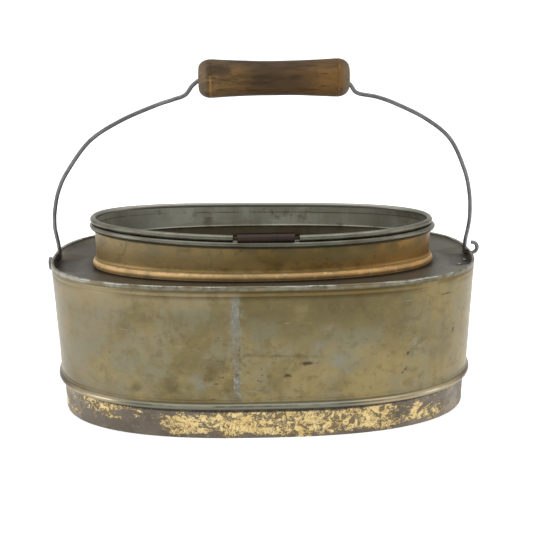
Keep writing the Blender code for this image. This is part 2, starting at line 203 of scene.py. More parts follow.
def ring_row(oval, offset, z, warp=None):
    """One closed row of points at an offset from an oval. A warp adds to the offset."""
    row = []
    for p, normal in OVAL_LINES[oval]:
        q = p + normal * offset
        if warp:
            q += normal * warp(Vector((q.x, q.y, z)))
        r = Vector((q.x, q.y, z))
        r.z += settle(oval, r)
        row.append(r)
    return row


def between_rows(a, b, share, z, warp=None):
    """A row part of the way from one row to another, at a height that a warp may change."""
    row = []
    for p, q in zip(a, b):
        r = p.lerp(q, share)
        r.z = z
        if warp:
            r.z += warp(r)
        row.append(r)
    return row


def rows_mesh(name, rows, around=True, looped=True, zones=None):
    """Mesh of quads between rows of points.

    around joins each row's ends, and looped joins the last row to the first. Without one of
    them the open ends are closed with a face each. zones gives each row its material number.
    """
    count = len(rows[0])
    verts = [tuple(p) for row in rows for p in row]
    faces, numbers = [], []
    row_pairs = [(r, r + 1) for r in range(len(rows) - 1)]
    if looped:
        row_pairs.append((len(rows) - 1, 0))
    columns = range(count if around else count - 1)
    for a, b in row_pairs:
        for i in columns:
            j = (i + 1) % count
            faces.append((a * count + i, a * count + j, b * count + j, b * count + i))
            numbers.append(zones[a] if zones else 0)
    if not looped:
        for r in (0, len(rows) - 1):
            faces.append([r * count + i for i in range(count)])
            numbers.append(zones[r] if zones else 0)
    if not around:
        for i in (0, count - 1):
            faces.append([r * count + i for r in range(len(rows))])
            numbers.append(0)
    mesh = bpy.data.meshes.new(name)
    mesh.from_pydata(verts, [], faces)
    mesh.polygons.foreach_set("material_index", numbers)
    bm = bmesh.new()
    bm.from_mesh(mesh)
    bmesh.ops.recalc_face_normals(bm, faces=bm.faces)
    bm.to_mesh(mesh)
    bm.free()
    return mesh


def add_object(name, data):
    item = bpy.data.objects.new(name, data)
    bpy.context.scene.collection.objects.link(item)
    return item


def add_piece(name, mesh, finishes, body, node, sharp_deg=32, in_place=True):
    """Show a mesh on a body and, unless it is an extra, in place of a CAD node, which it hides."""
    for finish in finishes:
        mesh.materials.append(FINISH[finish])
    mesh.shade_smooth()
    mesh.set_sharp_from_angle(angle=math.radians(sharp_deg))
    piece = add_object(name, mesh)
    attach(piece, body)
    if in_place:
        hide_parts(node)


def cut_away(mesh, cutters):
    """Take cutter meshes away from a mesh with exact Booleans, and return the result."""
    item = add_object("cut_item", mesh)
    tools = []
    for number, cutter in enumerate(cutters):
        tool = add_object(f"cut_tool_{number}", cutter)
        modifier = item.modifiers.new(tool.name, "BOOLEAN")
        modifier.operation = "DIFFERENCE"
        modifier.object = tool
        tools.append(tool)
    graph = bpy.context.evaluated_depsgraph_get()
    result = bpy.data.meshes.new_from_object(item.evaluated_get(graph))
    for unwanted in [item] + tools:
        bpy.data.objects.remove(unwanted)
    return result


def circle(count):
    """Cosine and sine of evenly spaced angles, once round."""
    angles = [2 * math.pi * i / count for i in range(count)]
    return [(math.cos(a), math.sin(a)) for a in angles]


def tube_rows(path, radius, sides, rough=0):
    """Rows of a round bar along a path, its section carried along without twist. Rough is in mm."""
    rows = []
    side = None
    last = len(path) - 1
    for i, here in enumerate(path):
        along = (path[min(i + 1, last)] - path[max(i - 1, 0)]).normalized()
        if side is None:
            side = along.orthogonal().normalized()
        side = (side - along * side.dot(along)).normalized()
        up = along.cross(side)
        row = []
        for u, v in circle(sides):
            out = side * u + up * v
            row.append(here + out * (radius + bumps(here + out * radius, rough, 400)))
        rows.append(row)
    return rows


def bar_cutter(start, end, radius, sides):
    return rows_mesh("bar_cutter", tube_rows([start, end], radius, sides), looped=False)


def box_cutter(low, high):
    corners = [(low[0], low[1]), (high[0], low[1]), (high[0], high[1]), (low[0], high[1])]
    rows = [[Vector((x, y, z)) for x, y in corners] for z in (low[2], high[2])]
    return rows_mesh("box_cutter", rows, looped=False)


def smooth_path(points, steps):
    """Catmull-Rom curve through points, with the same number of steps in each stretch."""
    path = []
    ends = [points[0] * 2 - points[1]] + list(points) + [points[-1] * 2 - points[-2]]
    for a, b, c, d in zip(ends, ends[1:], ends[2:], ends[3:]):
        for i in range(steps):
            t = i / steps
            path.append(0.5 * (2 * b + (c - a) * t + (2 * a - 5 * b + 4 * c - d) * t ** 2
                               + (3 * b - a - 3 * c + d) * t ** 3))
    path.append(points[-1])
    return path


# ---------------------------------------------------------------- finishes
class Nodes:
    """Short ways to add shader nodes, for coordinates of one kind."""

    def __init__(self, owner, coordinates):
        owner.use_nodes = True
        self.tree = owner.node_tree
        self.place = self.add("ShaderNodeTexCoord").outputs[coordinates]
        self.parts = self.add("ShaderNodeSeparateXYZ", Vector=self.place).outputs

    def add(self, kind, settings=None, **inputs):
        node = self.tree.nodes.new(kind)
        for key, value in (settings or {}).items():
            setattr(node, key, value)
        for key, value in inputs.items():
            self.plug(node.inputs[key.replace("_", " ")], value)
        return node

    def plug(self, socket, value):
        if isinstance(value, bpy.types.NodeSocket):
            self.tree.links.new(value, socket)
        elif isinstance(value, tuple) and len(value) == 3 and socket.type == "RGBA":
            socket.default_value = (*value, 1)
        else:
            socket.default_value = value

    def step(self, value, low, high):
        """0 below low and 1 above high, or the other way round if low is above high."""
        node = self.add("ShaderNodeMapRange", {"interpolation_type": "SMOOTHSTEP"},
                        Value=value, From_Min=low, From_Max=high)
        return node.outputs["Result"]

    def math(self, operation, a, b=0):
        node = self.add("ShaderNodeMath", {"operation": operation})
        self.plug(node.inputs[0], a)
        self.plug(node.inputs[1], b)
        return node.outputs["Value"]

    def times(self, *values):
        product = values[0]
        for value in values[1:]:
            product = self.math("MULTIPLY", product, value)
        return product

    def plus(self, *values):
        total = values[0]
        for value in values[1:]:
            total = self.math("ADD", total, value)
        return total

    def minus(self, a, b):
        return self.math("SUBTRACT", a, b)

    def most(self, *values):
        highest = values[0]
        for value in values[1:]:
            highest = self.math("MAXIMUM", highest, value)
        return highest

    def absolute(self, value):
        return self.math("ABSOLUTE", value)

    def mix(self, share, a, b):
        """Colour a where share is 0 and colour b where it is 1."""
        node = self.add("ShaderNodeMix", {"data_type": "RGBA"})
        self.plug(node.inputs[0], share)
        self.plug(node.inputs[6], a)
        self.plug(node.inputs[7], b)
        return node.outputs[2]

    def lerp(self, share, a, b):
        """Number a where share is 0 and number b where it is 1."""
        node = self.add("ShaderNodeMix", {"data_type": "FLOAT"})
        self.plug(node.inputs[0], share)
        self.plug(node.inputs[2], a)
        self.plug(node.inputs[3], b)
        return node.outputs[0]

    def band(self, value, low, high, soft):
        """1 between low and high, fading out over soft."""
        rise = self.step(value, low - soft, low)
        fall = self.step(value, high + soft, high)
        return self.times(rise, fall)


class Finish(Nodes):
    """A node material in the object's own coordinates: x, y, z in millimetres, noise per metre."""

    def __init__(self, name):
        self.material = bpy.data.materials.new(name)
        super().__init__(self.material, "Object")
        self.shader = self.tree.nodes["Principled BSDF"]
        self.x, self.y, self.z = (self.math("DIVIDE", part, MM) for part in self.parts)

    def noise(self, scale, detail=5, rough=0.65, stretch=(1, 1, 1), shift=0, warp=0):
        mapping = self.add("ShaderNodeMapping", Vector=self.place, Scale=stretch,
                           Location=(shift, shift * 0.7, shift * 1.3))
        node = self.add("ShaderNodeTexNoise", Vector=mapping.outputs["Vector"], Scale=scale,
                        Detail=detail, Roughness=rough, Distortion=warp)
        return node.outputs["Fac"]

    def coat(self, color, *shares):
        """Cover the colour so far with another, by the product of the shares."""
        self.color = self.mix(self.times(*shares), self.color, color)

    def above(self, height):
        """Millimetres above a height."""
        return self.minus(self.z, height / MM)

    def level(self, oval, bow, height):
        """Millimetres above a height, in the metal before its ring was bowed."""
        rise, power, tilt, drop = bow
        along = self.math("DIVIDE", self.x, oval[0] / MM)
        curve = self.times(self.math("POWER", self.absolute(along), power), rise / MM)
        return self.minus(self.above(height), self.plus(curve, self.times(along, tilt / MM), drop / MM))

    def patch(self, place, wobble, soft=0.18):
        """Ragged patch on the front: x, z, half its width and height in millimetres, and its lean."""
        x, z, half_width, half_height, lean = place
        raggedness = 5
        dz = self.minus(self.z, z)
        dx = self.minus(self.minus(self.x, x), self.times(dz, lean))
        across = self.math("DIVIDE", dx, half_width)
        up = self.math("DIVIDE", dz, half_height)
        far = self.math("SQRT", self.plus(self.times(across, across), self.times(up, up)))
        ragged = self.plus(far, self.times(self.minus(wobble, 0.5), raggedness))
        front = self.step(self.y, 0, -10)
        return self.times(self.step(ragged, 1 + soft, 1 - soft), front)

    def patches(self, places, wobble, soft=0.18):
        return self.most(*[self.patch(place, wobble, soft) for place in places])

    def finish(self, roughness, metallic, height=None, bump=0):
        """Plug the finish in and return its material. The bump's depth is in millimetres."""
        self.plug(self.shader.inputs["Base Color"], self.color)
        self.plug(self.shader.inputs["Roughness"], roughness)
        self.plug(self.shader.inputs["Metallic"], metallic)
        if height is not None:
            node = self.add("ShaderNodeBump", Height=height, Distance=bump * MM, Strength=1)
            self.plug(self.shader.inputs["Normal"], node.outputs["Normal"])
        return self.material


def lacquer_finish():
    """Body: brown lacquer over tinplate, clouded, worn to grey tin, with dark rust specks."""
    f = Finish("body_lacquer")
    edge = f.level(BODY_OVAL, EDGE_BOW, EDGE_Z)
    bead = f.level(BODY_OVAL, BEAD_BOW, BODY_BEAD_Z)
    cloud = f.noise(15, 5, 0.6, shift=0.3, warp=0.5)
    mottle = f.noise(55, 6, 0.66, stretch=(1, 1, 0.8), shift=1.7)
    grime = f.noise(150, 5, 0.68, shift=11.3, warp=0.3)
    streak = f.noise(42, 4, 0.6, stretch=(1, 1, 0.22), shift=2.9)
    rubs = f.noise(95, 4, 0.6, stretch=(0.35, 0.35, 1), shift=4.7)
    f.color = f.mix(f.step(cloud, 0.38, 0.6), (0.214, 0.166, 0.072), (0.13, 0.106, 0.046))
    f.coat((0.176, 0.158, 0.096), f.step(mottle, 0.44, 0.6), 0.75)
    f.coat((0.114, 0.088, 0.036), f.step(streak, 0.48, 0.7), 0.4)
    f.coat((0.222, 0.18, 0.092), f.step(rubs, 0.52, 0.7), 0.35)
    f.coat((0.092, 0.072, 0.034), f.step(grime, 0.51, 0.62), 0.42)
    # The lacquer is darker below the top edge, and greyer towards both ends.
    upper = f.times(f.step(f.above(EDGE_Z), -50, -14), f.step(f.x, -75, -10),
                    f.step(f.x, 140, 60))
    f.coat((0.09, 0.07, 0.026), upper, f.step(mottle, 0.22, 0.66))
    left_end = f.times(f.step(f.x, -50, -140), f.step(mottle, 0.26, 0.58))
    f.coat((0.172, 0.152, 0.106), left_end, 0.68)
    right_end = f.times(f.step(f.x, 90, 145), f.step(cloud, 0.3, 0.6))
    f.coat((0.176, 0.15, 0.096), right_end, 0.5)
    # Thin lacquer that lets greenish grey tin through, stains and bare spots on the front.
    wobble = f.math("MULTIPLY", f.plus(f.noise(140, shift=8, warp=0.4),
                                       f.noise(420, 4, 0.75, shift=2.1, warp=0.4)), 0.5)
    broad = f.noise(40, shift=5.2)
    thin = f.times(f.patches(THIN_PATCHES, broad, 0.7), f.step(mottle, 0.34, 0.6))
    f.coat((0.148, 0.146, 0.1), thin, 0.44)
    stain = f.times(f.patches(STAINS, broad, 0.6), f.lerp(grime, 0.3, 1))
    f.coat((0.09, 0.068, 0.028), stain, 0.62)
    bare = f.times(f.patches(BARE_PATCHES, wobble, 0.75), f.step(grime, 0.62, 0.34))
    f.coat((0.158, 0.166, 0.156), bare, 0.62)
    over = f.patch((SEAM_X / MM, EDGE_Z / MM - 6, 3.2, 6.5, 0), wobble, 0.5)
    beside = f.times(f.patch((SEAM_X / MM, 78, 4.6, 24, 0), wobble, 0.6), f.step(grime, 0.6, 0.4))
    solder = f.most(f.times(over, f.lerp(mottle, 0.4, 0.8)), f.times(beside, 0.55))
    f.coat((0.168, 0.172, 0.148), solder)
    # Specks and short dark scratches, most of them round the seam.
    near_seam = f.patches(SPECK_AREAS, broad, 0.6)
    speck = f.step(f.noise(430, 3, 0.6, shift=3.3), f.lerp(near_seam, 0.7, 0.6),
                   f.lerp(near_seam, 0.74, 0.66))
    speck = f.times(speck, f.step(f.noise(35, 3, 0.6, shift=4.4), 0.3, 0.5))
    scratch = f.noise(230, 2, 0.5, stretch=(0.16, 0.16, 1), shift=6.6)
    scratch = f.times(f.step(scratch, 0.72, 0.77), f.step(f.noise(40, 4, 0.55, shift=7.1), 0.48, 0.6))
    drawn = f.times(f.patches(DARK_MARKS, wobble, 0.5), f.step(grime, 0.36, 0.52))
    marks = f.most(speck, scratch, drawn)
    f.coat((0.044, 0.034, 0.018), marks, 0.72)
    light_scratch = f.noise(300, 2, 0.5, stretch=(0.12, 0.12, 1), shift=9.6)
    light_scratch = f.times(f.step(light_scratch, 0.7, 0.75), f.step(cloud, 0.45, 0.55))
    f.coat((0.26, 0.24, 0.17), light_scratch, 0.35)
    # Brown lacquer gathered in the joggles, and the bead's crest worn to grey-green tin, with painted
    # highlights and painted shade on it.
    joggle = f.most(f.band(bead, 4.4, 4.9, 0.6),
                    f.band(edge, -7.1, -6.6, 0.5))
    f.coat((0.11, 0.066, 0.024), joggle, f.step(cloud, 0.42, 0.62), 0.75)
    strip = f.band(edge, -6.2, -3.6, 0.5)
    f.coat((0.122, 0.08, 0.024), strip, f.step(mottle, 0.36, 0.6),
           f.lerp(f.step(f.x, -90, 0), 0.15, 0.85))
    top_left = f.times(f.step(f.above(EDGE_Z), -22, -9), f.band(f.x, -130, -30, 20))
    f.coat((0.225, 0.18, 0.098), top_left, f.step(mottle, 0.3, 0.56), 0.6)
    crest = f.band(bead, -2.6, 2.2, 0.6)
    middle = f.band(f.x, -85, 50, 30)
    # Grey-green worn tin in the middle of the crest; the tan towards both sides is a painted highlight.
    worn = f.mix(middle, (0.3, 0.245, 0.15), (0.128, 0.132, 0.1))
    # Painted shade: the crest is darkened at its far ends.
    ends = f.step(f.absolute(f.x), 128, 142)
    worn = f.mix(f.times(ends, 0.85), worn, (0.06, 0.048, 0.03))
    f.coat(worn, crest, f.lerp(mottle, 0.7, 1))
    # Painted highlight: a thin bright line along the bead's crest.
    bead_highlight = f.band(bead, 0.7, 1.2, 0.45)
    bead_highlight = f.times(bead_highlight, f.step(streak, 0.4, 0.58), f.step(f.absolute(f.x), 130, 118))
    f.coat((0.46, 0.43, 0.33), bead_highlight, 0.55)
    above = f.band(bead, 2.5, 3.4, 0.4)
    f.coat((0.08, 0.062, 0.028), above, 0.45)
    # Painted shade: the lower part of the bead darkened almost to black.
    under = f.step(bead, -0.7, -1.5)
    f.coat((0.02, 0.016, 0.01), under, 0.9)
    roughness = f.lerp(mottle, 0.32, 0.48)
    roughness = f.lerp(f.most(marks, stain), roughness, 0.7)
    roughness = f.lerp(crest, roughness, 0.28)
    height = f.plus(f.times(mottle, 0.5), f.times(bare, -0.25), f.times(marks, -0.5))
    return f.finish(roughness, 0.8, height, 0.12)


def golden_finish():
    """Collar: lacquer, golden low down and dull above, darker in the middle, over a worn tan bead. The
    darker middle is partly tarnish and partly a painted reflection of the dark shoulder plate.
    """
    f = Finish("collar_lacquer")
    up = f.above(COLLAR_LOW.z)
    top = f.level(RIM_OVAL, RIM_BOW, COLLAR_HIGH.z)
    cloud = f.noise(24, 5, 0.6, shift=0.9)
    fine = f.noise(90, 5, 0.62, shift=3.9)
    along = f.plus(f.x, f.times(f.minus(cloud, 0.5), 40))
    f.color = f.mix(f.step(along, -105, -40), (0.301, 0.217, 0.098), (0.243, 0.171, 0.062))
    # Darker middle: partly tarnish, partly a painted reflection of the dark shoulder plate.
    f.coat((0.145, 0.096, 0.024), f.step(along, -36, 4))
    f.coat((0.243, 0.132, 0.034), f.step(along, 40, 100))
    f.coat((0.181, 0.15, 0.062), f.step(fine, 0.46, 0.72), 0.45)
    f.coat((0.28, 0.162, 0.034), f.step(cloud, 0.5, 0.7), 0.35)
    # Rubbed patches of grey-green tin, gold near the foot and dull olive along the top.
    wobble = f.noise(70, 5, 0.6, shift=2.2)
    f.coat((0.19, 0.168, 0.09), f.patches(COLLAR_PATCHES, wobble, 0.7), 0.26)
    ragged = f.plus(up, f.times(f.minus(cloud, 0.5), 16))
    golden = f.times(f.step(ragged, 15, 8), f.step(fine, 0.3, 0.56))
    f.coat(f.mix(f.step(f.x, -50, 90), (0.4, 0.27, 0.1), (0.36, 0.19, 0.046)), golden, 0.55)
    dull = f.times(f.step(ragged, 13, 21), f.step(fine, 0.34, 0.6))
    f.coat(f.mix(f.step(f.x, -70, 0), (0.19, 0.165, 0.098), (0.086, 0.068, 0.024)), dull, 0.68)
    # Stains and specks, then the bead with its wear, and painted shade in the corners at the foot and under
    # the rim's bead.
    stain = f.step(f.noise(130, 5, 0.7, shift=9.9, warp=0.6), 0.54, 0.64)
    f.coat((0.08, 0.052, 0.016), stain, 0.3)
    speck = f.step(f.noise(430, 2, 0.5, shift=3.3), 0.68, 0.74)
    f.coat((0.05, 0.034, 0.016), speck, 0.7)
    bead = f.step(up, 6, 5.2)
    # The bead's tan is lighter towards both sides as a painted highlight, and darker in the middle.
    tan = f.mix(f.step(f.x, -80, 100), (0.66, 0.44, 0.2), (0.52, 0.29, 0.092))
    tan = f.mix(f.times(f.band(f.x, -30, 40, 30), 0.55), tan, (0.315, 0.215, 0.088))
    tan = f.mix(f.times(f.step(fine, 0.46, 0.64), 0.6), tan, (0.3, 0.215, 0.1))
    tan = f.mix(f.times(f.step(cloud, 0.52, 0.66), 0.4), tan, (0.19, 0.13, 0.056))
    f.coat(tan, bead, 0.92)
    rub = f.times(bead, f.step(f.noise(210, 5, 0.7, shift=6), 0.55, 0.64))
    f.coat((0.77, 0.602, 0.328), rub, 0.35)
    ridge = f.band(up, 5.6, 6, 0.25)
    f.coat((0.095, 0.06, 0.022), ridge, 0.5)
    # Painted shade: dark along the foot, and along the top under the rim's bead.
    corner_shade = f.most(f.step(up, 0.9, 0.1),
                  f.step(top, -1.3, -0.3))
    f.coat((0.026, 0.02, 0.012), corner_shade, 0.85)
    height = f.plus(f.times(fine, 0.5), f.times(speck, -0.5))
    roughness = f.plus(f.lerp(fine, 0.36, 0.54), f.times(bead, 0.1))
    return f.finish(roughness, f.lerp(bead, 0.62, 0.4), height, 0.14)


def rim_finish():
    """Rim: tinned steel gone grey-green, rubbed bright along its crests, with painted light on the back half
    and painted shade between the beads and under the lower one.
    """
    f = Finish("rim_tin")
    cloud = f.noise(38, shift=1.9)
    fine = f.noise(230, 4, 0.65, shift=4.9)
    rubs = f.noise(110, 4, 0.6, stretch=(0.22, 0.22, 1), shift=0.4)
    f.color = f.mix(f.step(cloud, 0.3, 0.7), (0.15, 0.147, 0.112), (0.098, 0.093, 0.066))
    f.coat((0.225, 0.225, 0.185), f.step(rubs, 0.5, 0.72), 0.45)
    brown = f.step(f.noise(60, 6, 0.7, shift=7.7), 0.54, 0.72)
    f.coat((0.09, 0.064, 0.036), brown, 0.45)
    # Painted light: the back half of the rim is made lighter.
    f.coat((0.29, 0.292, 0.25), f.step(f.y, 0, 30), 0.6)
    bead = f.level(RIM_OVAL, RIM_BOW, LOWER_BEAD_Z)
    # Painted shade in the neck between the beads and under the lower bead.
    neck = f.band(bead, 2.5, 2.9, 0.2)
    below = f.step(bead, -1, -1.7)
    f.coat((0.055, 0.048, 0.036), f.most(neck, below), 0.8)
    speck = f.step(f.noise(560, 2, 0.5, shift=2.3), 0.69, 0.75)
    f.coat((0.04, 0.03, 0.022), speck, 0.6)
    height = f.plus(fine, f.times(speck, -0.6))
    return f.finish(f.lerp(fine, 0.28, 0.46), 0.85, height, 0.06)


def rim_inside_finish():
    """Inside of the rim's band: grey-green tin, darker at both ends, with streaks and scratches, a painted
    shade line at the lower bead and a painted highlight along the hem.
    """
    f = Finish("rim_inside_tin")
    cloud = f.noise(26, shift=2.4)
    drips = f.noise(60, stretch=(1, 1, 0.25), shift=3.1)
    streak = f.noise(75, stretch=(0.16, 0.16, 1), shift=1.3)
    f.color = f.mix(f.step(cloud, 0.38, 0.62), (0.44, 0.45, 0.372), (0.32, 0.318, 0.245))
    f.coat((0.225, 0.215, 0.155), f.step(drips, 0.44, 0.62), 0.55)
    f.coat((0.205, 0.18, 0.115), f.step(streak, 0.52, 0.66), 0.45)
    ends = f.plus(f.step(f.x, -55, -100), f.step(f.x, 50, 95))
    f.coat((0.108, 0.1, 0.07), ends, f.lerp(drips, 0.35, 0.95))
    brown = f.step(f.noise(70, 6, 0.7, shift=8.7), 0.56, 0.66)
    f.coat((0.13, 0.088, 0.044), brown, 0.6)
    scratch = f.step(f.noise(260, 2, 0.5, stretch=(0.1, 0.1, 1), shift=5.6), 0.66, 0.72)
    f.coat((0.56, 0.55, 0.45), scratch, 0.5)
    bead = f.level(RIM_OVAL, RIM_BOW, LOWER_BEAD_Z)
    # Painted shade: a dark line at the height of the lower bead, where the groove behind it lies.
    fold = f.band(bead, -0.3, 0.1, 0.35)
    f.coat((0.06, 0.054, 0.04), fold, f.step(cloud, 0.42, 0.56), 0.75)
    # Painted highlight: a light line along the hem.
    hem_highlight = f.band(f.above(SKIRT_Z), 0, 1.2, 0.4)
    f.coat((0.5, 0.48, 0.36), hem_highlight, 0.5, f.step(drips, 0.58, 0.42))
    return f.finish(f.lerp(streak, 0.42, 0.62), 0.2, drips, 0.06)


def shoulder_finish():
    """Shoulder: dark grey-brown tin, paler and greener towards the right and along the edge."""
    f = Finish("shoulder_tin")
    cloud = f.noise(26, shift=0.7)
    fine = f.noise(150, 5, 0.6, shift=5.9)
    rubs = f.noise(60, stretch=(0.5, 1, 1), shift=8.1)
    f.color = f.mix(f.step(cloud, 0.32, 0.68), (0.07, 0.059, 0.042), (0.051, 0.041, 0.029))
    f.coat((0.095, 0.083, 0.061), f.step(fine, 0.5, 0.75), 0.4)
    right = f.times(f.step(f.x, 70, 130), f.lerp(rubs, 0.3, 1))
    f.coat((0.104, 0.101, 0.074), right, 0.75)
    crown = f.times(f.step(f.above(EDGE_Z), -4, -2.2), f.step(rubs, 0.38, 0.62))
    f.coat((0.133, 0.122, 0.086), crown, 0.55)
    # Painted shade in the corner at the collar's foot.
    foot = f.step(f.above(PLATE_Z), 1.1, 0.1)
    f.coat((0.027, 0.02, 0.013), foot, 0.6)
    return f.finish(f.lerp(fine, 0.4, 0.58), 0.65, fine, 0.09)


def inside_finish(name, top, low):
    """Inside of the pail: tin that has gone brown, streaked by what it carried."""
    f = Finish(name)
    cloud = f.noise(30, 6, 0.65, shift=2.7)
    streak = f.noise(60, 4, 0.6, stretch=(1, 1, 0.25), shift=6.1)
    f.color = f.mix(f.step(cloud, 0.33, 0.68), top, low)
    f.coat((0.085, 0.055, 0.03), f.step(streak, 0.48, 0.7), 0.5)
    rust = f.step(f.noise(90, 6, 0.7, shift=8.3), 0.58, 0.68)
    f.coat((0.13, 0.06, 0.025), rust, 0.7)
    return f.finish(f.lerp(cloud, 0.45, 0.7), f.lerp(rust, 0.75, 0.1), cloud, 0.15)


def solder_finish():
    """Edge bead: dull olive-grey solder, with a painted highlight in a thin broken line along its crest."""
    f = Finish("old_solder")
    lump = f.noise(190, 4, 0.6, shift=0.2)
    cloud = f.noise(38, shift=3.7)
    f.color = f.mix(f.step(lump, 0.35, 0.62), (0.088, 0.08, 0.054), (0.15, 0.142, 0.102))
    f.coat((0.15, 0.118, 0.062), f.step(cloud, 0.46, 0.66), 0.6)
    edge = f.level(BODY_OVAL, EDGE_BOW, EDGE_Z)
    wave = f.times(f.minus(f.noise(60, 3, 0.5, shift=6.2), 0.5), 1.6)
    # Painted highlight: a thin wavy bright line along the crest.
    crest = f.band(f.plus(edge, wave), -0.7, -0.5, 0.3)
    rubbed = f.times(crest, f.step(cloud, 0.6, 0.44), f.step(lump, 0.34, 0.5))
    f.coat((0.43, 0.435, 0.385), rubbed, 0.85)
    left = f.times(f.step(f.x, -80, -115), f.step(cloud, 0.58, 0.42), f.step(lump, 0.36, 0.5))
    f.coat((0.33, 0.322, 0.262), left, 0.6)
    low = f.step(edge, -2.2, -3.2)
    f.coat((0.075, 0.055, 0.028), low, 0.6)
    return f.finish(f.lerp(lump, 0.46, 0.3), 0.85, lump, 0.16)


def seam_finish():
    """Solder over the lap seam, pale and smooth above, mottled and half rubbed away below."""
    f = Finish("seam_solder")
    lump = f.noise(260, 5, 0.7, shift=1.2)
    patch = f.noise(95, stretch=(1, 1, 0.6), shift=5.7)
    f.color = f.mix(f.step(lump, 0.42, 0.6), (0.14, 0.128, 0.086), (0.205, 0.204, 0.178))
    above = f.step(f.z, 60, 78)
    f.coat((0.176, 0.18, 0.154), above, 0.45)
    worn = f.lerp(above, 0.8, 0.35)
    f.coat((0.15, 0.122, 0.06), f.step(patch, 0.46, 0.6), worn)
    dark = f.times(f.step(f.noise(420, 3, 0.6, shift=2.8), 0.55, 0.62), f.lerp(above, 1, 0.35))
    f.coat((0.066, 0.054, 0.04), dark, 0.75)
    return f.finish(f.lerp(lump, 0.62, 0.42), 0.75, lump, 0.14)


def base_finish():
    """Base band: grey-brown rust, with yellow paint that has flaked off in streaks and crumbs."""
    f = Finish("flaked_paint")
    rust_cloud = f.noise(45, 6, 0.65, shift=0.6)
    rust_fine = f.noise(260, shift=4.1)
    f.color = f.mix(f.step(rust_cloud, 0.35, 0.68), (0.15, 0.122, 0.09), (0.092, 0.074, 0.054))
    f.coat((0.2, 0.165, 0.115), f.step(rust_fine, 0.5, 0.68), 0.5)
    ends = f.step(f.absolute(f.plus(f.x, 5)), 85, 130)
    pale = f.mix(f.step(rust_cloud, 0.4, 0.6), (0.33, 0.285, 0.215), (0.165, 0.142, 0.11))
    f.coat(pale, ends, 0.7)
    # How much paint is left: most on the front, little at the ends and along the bottom edge.
    left_gap = f.times(f.band(f.x, -94, -76, 8), -0.08)
    across = f.plus(f.times(f.band(f.x, -52, 75, 35), 0.052),
                    f.times(f.band(f.x, -118, 118, 16), 0.036), left_gap)
    low_wear = f.times(f.step(f.z, 6, 0), -0.08)
    back = f.times(f.step(f.y, -30, 20), -0.08)
    lean = f.plus(f.x, f.times(f.z, -0.9))
    spread = f.add("ShaderNodeCombineXYZ", X=f.times(lean, 0.55), Y=f.y, Z=f.times(f.z, 1.5))
    big = f.add("ShaderNodeTexNoise", Vector=spread.outputs["Vector"], Scale=52 * MM, Detail=4,
                Roughness=0.6, Distortion=0.3).outputs["Fac"]
    middling = f.noise(190, 5, 0.7, stretch=(0.6, 0.6, 1.4), shift=9.2, warp=0.5)
    crumbs = f.noise(640, 4, 0.75, stretch=(0.8, 0.8, 1.2), shift=3.6, warp=0.6)
    amount = f.plus(f.times(big, 0.46), f.times(middling, 0.32), f.times(crumbs, 0.22),
                    across, low_wear, back)
    paint = f.step(amount, 0.535, 0.555)
    worn = f.step(amount, 0.5, 0.55)
    patchy = f.step(f.noise(52, 4, 0.6, shift=7.4), 0.42, 0.58)
    flecks = f.step(f.noise(250, 6, 0.78, shift=6.3, warp=0.9), f.lerp(patchy, 0.575, 0.495),
                    f.lerp(patchy, 0.6, 0.52))
    blotches = f.step(f.noise(110, 6, 0.75, shift=1.8, warp=0.8), 0.548, 0.578)
    ticks = f.noise(150, 4, 0.6, stretch=(1, 1, 0.5), shift=5.1, warp=2.4)
    ticks = f.step(f.absolute(f.minus(ticks, 0.5)), 0.022, 0.01)
    ticks = f.times(ticks, f.step(f.noise(85, 3, 0.55, shift=2), 0.45, 0.51))
    lost = f.most(flecks, blotches, ticks)
    paint = f.times(paint, f.minus(1, f.times(lost, 0.9)))
    yellow = f.mix(f.step(f.noise(110, 4, 0.6, shift=1.4), 0.35, 0.68),
                   (0.74, 0.56, 0.24), (0.57, 0.395, 0.135))
    yellow = f.mix(f.times(f.step(crumbs, 0.5, 0.66), 0.6), yellow, (0.78, 0.64, 0.35))
    f.coat((0.2, 0.15, 0.078), worn, 0.4)
    f.coat((0.078, 0.056, 0.032), lost, worn, 0.75)
    f.coat(yellow, paint)
    bead = f.level(BODY_OVAL, BEAD_BOW, BODY_BEAD_Z)
    shade = f.step(bead, -5.2, -4.2)
    f.coat((0.016, 0.012, 0.008), shade, 0.94)
    roughness = f.lerp(paint, f.lerp(rust_fine, 0.55, 0.75), 0.58)
    metallic = f.times(f.minus(1, paint), 0.3)
    height = f.plus(f.times(rust_fine, 0.35), paint)
    return f.finish(roughness, metallic, height, 0.14)


def rust_finish(name, light, dark):
    """Rusted sheet: reddish brown, pitted."""
    f = Finish(name)
    cloud = f.noise(120, shift=0.8)
    pits = f.noise(520, 4, 0.65, shift=3.1)
    f.color = f.mix(f.step(cloud, 0.35, 0.68), light, dark)
    f.coat((0.035, 0.022, 0.016), f.step(pits, 0.58, 0.7), 0.6)
    return f.finish(f.lerp(pits, 0.48, 0.75), 0.45, pits, 0.1)


def wire_finish():
    """Steel wire: grey, dull, with a little brown."""
    f = Finish("steel_wire")
    cloud = f.noise(70, shift=0.1)
    fine = f.noise(500, 4, 0.6, shift=3.8)
    f.color = f.mix(f.step(cloud, 0.38, 0.66), (0.165, 0.168, 0.168), (0.11, 0.11, 0.108))
    f.coat((0.085, 0.068, 0.052), f.step(fine, 0.58, 0.72), 0.5)
    return f.finish(f.lerp(fine, 0.36, 0.55), 0.85, fine, 0.04)


